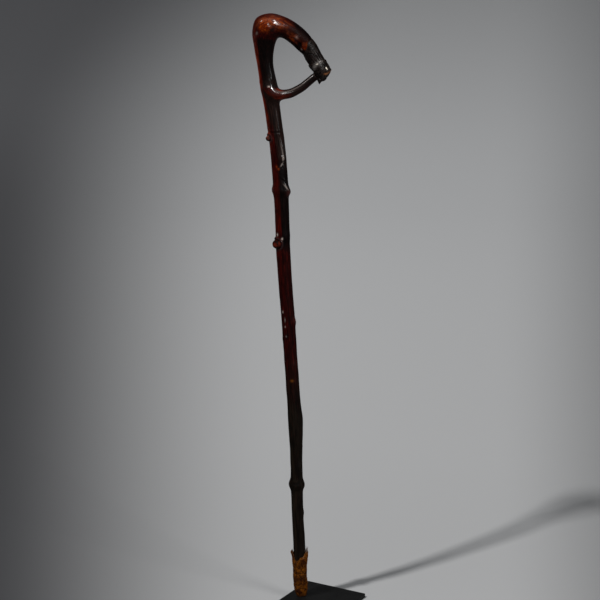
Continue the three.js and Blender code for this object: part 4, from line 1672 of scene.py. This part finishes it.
def ochre_hide_finish():
    finish = Finish("raw_ochre_hide")
    place = finish.place()
    patches = finish.noise(place, 120, 5, 0.66, 0.9)
    fibres = finish.noise(finish.scaled(place, (1, 1, 0.3)), 700, 5, 0.6)
    out, dark_band_and_painted_shade, edge = finish.painted("out", "dark_band_and_painted_shade", "edge")
    base = finish.layered(finish.mix(fibres.above(0.3, 0.7), paint(54, 24, 1), paint(112, 62, 6)), [
        (patches.above(0.48, 0.6) * 0.92, paint(36, 10, 1)),
        # A dark band of stain, with painted shade on the left flap and the hem.
        (dark_band_and_painted_shade * 0.85, paint(36, 12, 1)),
        # Painted shade in the creases.
        ((-1 * out).above(0.05, 0.6) * 0.8, paint(16, 6, 1)),
        (edge * fibres.above(0.45, 0.7) * 0.6, paint(96, 82, 66)),
    ])
    return hide_surface(finish, base, 1100, 0.8, fibres * 0.02, (-1 * out).above(0.0, 0.5))


foot_points = points_of(foot_hide.data)
foot_height = (foot_points[:, 2] - FOOT_END) / MM
foot_side = stem.local(foot_points)[3]
ripple = folds(foot_side, foot_height, 4, 12, 67)
dark_band_and_painted_shade = falloff(foot_height - 31 + 3 * ripple, 4.5) * step(side_distance(foot_side, 30), 30, 80)
# Painted shade on the left flap, whose inside faces away from the light, and at the hem by the
# plate.
dark_band_and_painted_shade = dark_band_and_painted_shade + 0.9 * falloff(side_distance(foot_side, 198), 28) * step(foot_height, 62, 68)
store(foot_hide.data, "dark_band_and_painted_shade", dark_band_and_painted_shade + 0.7 * (1 - step(foot_height + 2 * ripple, 1, 8)))
store(foot_hide.data, "edge", 1 - step(foot_edge(foot_side) - foot_height, 0.6, 3.0))
dress(foot_hide, "foot_sleeve", ochre_hide_finish())
print("foot's hide:", foot_hide.data.materials[0].name)

# %% [markdown]
# Some of the animal's hair is left on the foot's hide. Particle hair would be lost in an export,
# so a node tree scatters it. The tree takes number, length and thickness as inputs, reads from
# the mesh where hairs grow, and leans each one upwards by its own amount.

# %% Node tree for the hair
TUFT_HEIGHT = 77


def hair_material():
    finish = Finish("animal_hair")
    height = finish.axes()[2]
    shade = finish.noise(finish.place(), 700, 3)
    brown = finish.mix(shade.above(0.4, 0.6), paint(48, 22, 4), paint(112, 70, 22))
    tuft_start = FOOT_END + (TUFT_HEIGHT - 3) * MM
    base = finish.mix(height.above(tuft_start, tuft_start + 5 * MM), brown, paint(122, 112, 106))
    return finish.surface({"Base Color": base, "Roughness": 0.7, "Specular IOR Level": 0.1})


def hair_tree(material):
    tree = bpy.data.node_groups.new("scattered_hair", "GeometryNodeTree")
    sockets = {}
    for name, kind in (("Hide", "Geometry"), ("Number", "Float"), ("Length", "Float"),
                       ("Thickness", "Float"), ("Lean", "Float"), ("Seed", "Int")):
        kind = "NodeSocket" + kind
        sockets[name] = tree.interface.new_socket(name, in_out="INPUT", socket_type=kind)
    tree.interface.new_socket("Hair", in_out="OUTPUT", socket_type="NodeSocketGeometry")

    def node(kind, inputs, **settings):
        made = tree.nodes.new(kind)
        for name, setting in settings.items():
            setattr(made, name, setting)
        for name, value in inputs.items():
            if isinstance(value, bpy.types.NodeSocket):
                tree.links.new(value, made.inputs[name])
            else:
                made.inputs[name].default_value = value
        return made.outputs

    given = node("NodeGroupInput", {})
    grows = node("GeometryNodeInputNamedAttribute", {"Name": "hair"})["Attribute"]
    longer = node("GeometryNodeInputNamedAttribute", {"Name": "hair_length"})["Attribute"]
    number = node("ShaderNodeMath", {0: grows, 1: given["Number"]}, operation="MULTIPLY")[0]
    spots = node("GeometryNodeDistributePointsOnFaces",
                 {"Mesh": given["Hide"], "Density": number, "Seed": given["Seed"]})
    strand = node("GeometryNodeMeshCone", {"Vertices": 4, "Side Segments": 2, "Radius Bottom": 1.0,
                                           "Radius Top": 0.1, "Depth": 1.0})["Mesh"]
    stray = node("FunctionNodeRandomValue", {0: (-0.5, -0.5, -0.3), 1: (0.5, 0.5, 0.5), "Seed": 3},
                 data_type="FLOAT_VECTOR")[0]
    upright = node("ShaderNodeCombineXYZ", {"Z": given["Lean"]})[0]
    leaning = node("ShaderNodeVectorMath", {0: spots["Normal"], 1: upright}, operation="ADD")[0]
    way = node("ShaderNodeVectorMath", {0: leaning, 1: stray}, operation="ADD")[0]
    turned = node("FunctionNodeAlignRotationToVector", {"Vector": way}, axis="Z")[0]
    some = node("FunctionNodeRandomValue", {2: 0.5, 3: 1.2, "Seed": 4}, data_type="FLOAT")[1]
    reach = node("ShaderNodeMath", {0: given["Length"], 1: some}, operation="MULTIPLY")[0]
    reach = node("ShaderNodeMath", {0: reach, 1: longer}, operation="MULTIPLY")[0]
    thick = given["Thickness"]
    size = node("ShaderNodeCombineXYZ", {"X": thick, "Y": thick, "Z": reach})[0]
    hairs = node("GeometryNodeInstanceOnPoints", {
        "Points": spots["Points"], "Instance": strand, "Rotation": turned, "Scale": size})[0]
    solid = node("GeometryNodeRealizeInstances", {"Geometry": hairs})[0]
    done = node("GeometryNodeSetMaterial", {"Geometry": solid, "Material": material})[0]
    node("NodeGroupOutput", {"Hair": done})
    return tree, sockets


tree, hair_inputs = hair_tree(hair_material())
print("hair tree:", len(tree.nodes), "nodes, inputs", list(hair_inputs))

# %% [markdown]
# The hair is a sparse brown fuzz, with a grey tuft at the upper right. How dense and how long it
# grows is stored on the sleeve's outer points, since a weight painted by hand would have to be
# redone whenever the sleeve changes. The tree's result is turned into a plain mesh.

# %% Grow the hair on the foot's hide
HAIR_PER_SQUARE_METRE = 420000
HAIR_LENGTH = 2.2 * MM
HAIR_THICKNESS = 0.16 * MM
HAIR_LEAN = 3.2
HAIR_SEED = 11
TUFT_SIDE = 344

outer_rows = np.arange(len(foot_points)) < FOOT_ROWS * FOOT_SIDES
tuft = falloff(side_distance(foot_side, TUFT_SIDE), 16) * falloff(foot_height - TUFT_HEIGHT, 3.5)
fuzz = 0.25 + 0.4 * step(folds(foot_side, foot_height, 5, 14, 71), 0.1, 0.5)
store(foot_hide.data, "hair", outer_rows * (fuzz * step(foot_height, 3, 12) + 9 * tuft))
store(foot_hide.data, "hair_length", 0.6 + 3.6 * tuft)

root_piece = piece_of("hair_roots", foot_hide.data.copy())
grower = root_piece.modifiers.new("hair", "NODES")
grower.node_group = tree
for name, value in (("Number", HAIR_PER_SQUARE_METRE), ("Length", HAIR_LENGTH),
                    ("Thickness", HAIR_THICKNESS), ("Lean", HAIR_LEAN), ("Seed", HAIR_SEED)):
    grower[hair_inputs[name].identifier] = value
ready = root_piece.evaluated_get(bpy.context.evaluated_depsgraph_get())
hair_mesh = bpy.data.meshes.new_from_object(ready)
root_piece.modifiers.remove(grower)
bpy.data.objects.remove(root_piece)
hair_mesh.materials.pop(index=0)
hair_mesh.polygons.foreach_set("material_index", [0] * len(hair_mesh.polygons))
foot_hair = piece_of("foot_hair", hair_mesh)
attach(foot_hair, "staff")
print("foot hair:", len(hair_mesh.polygons), "faces")

# %% [markdown]
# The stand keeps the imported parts' own shapes, so only finishes are made for it. Its plate is
# mild steel with a satin black paint, scratched a little, and the pin is bare steel with fine
# turning marks. An image of scratches would repeat, so they are the middles of thin cells that
# are stretched from front to back.

# %% Finishes of the stand


def plate_finish():
    finish = Finish("satin_black_paint")
    place = finish.place()
    cloud = finish.noise(place, 40)
    grit = finish.noise(place, 1400, 3)
    scratches = finish.cells(finish.scaled(place, (1, 0.06, 1)), 420)
    base = finish.mix(cloud.above(0.3, 0.7), paint(12, 12, 12), paint(20, 20, 20))
    base = finish.mix((1 - scratches.above(0.0, 0.03)) * 0.3, base, paint(60, 60, 60))
    return finish.surface({
        "Base Color": base,
        "Roughness": 0.42 + cloud * 0.16,
        "Specular IOR Level": 0.08,
        "Normal": finish.bump(grit, 0.0002, 0.35),
    })


def pin_finish():
    finish = Finish("bare_steel")
    place = finish.place()
    turned = finish.noise(finish.scaled(place, (0.1, 0.1, 1)), 2400, 3)
    stain = finish.noise(place, 220)
    base = finish.mix(stain.above(0.45, 0.7), paint(150, 150, 152), paint(104, 98, 92))
    return finish.surface({
        "Base Color": base,
        "Metallic": 1.0,
        "Roughness": 0.3 + turned * 0.18,
        "Normal": finish.bump(turned, 0.0002, 0.3),
    })


for node, material in (("base_plate", plate_finish()), ("support_pin", pin_finish())):
    for place in bpy.data.objects[node].material_slots:
        place.material = material
    print(node, "gets", material.name)
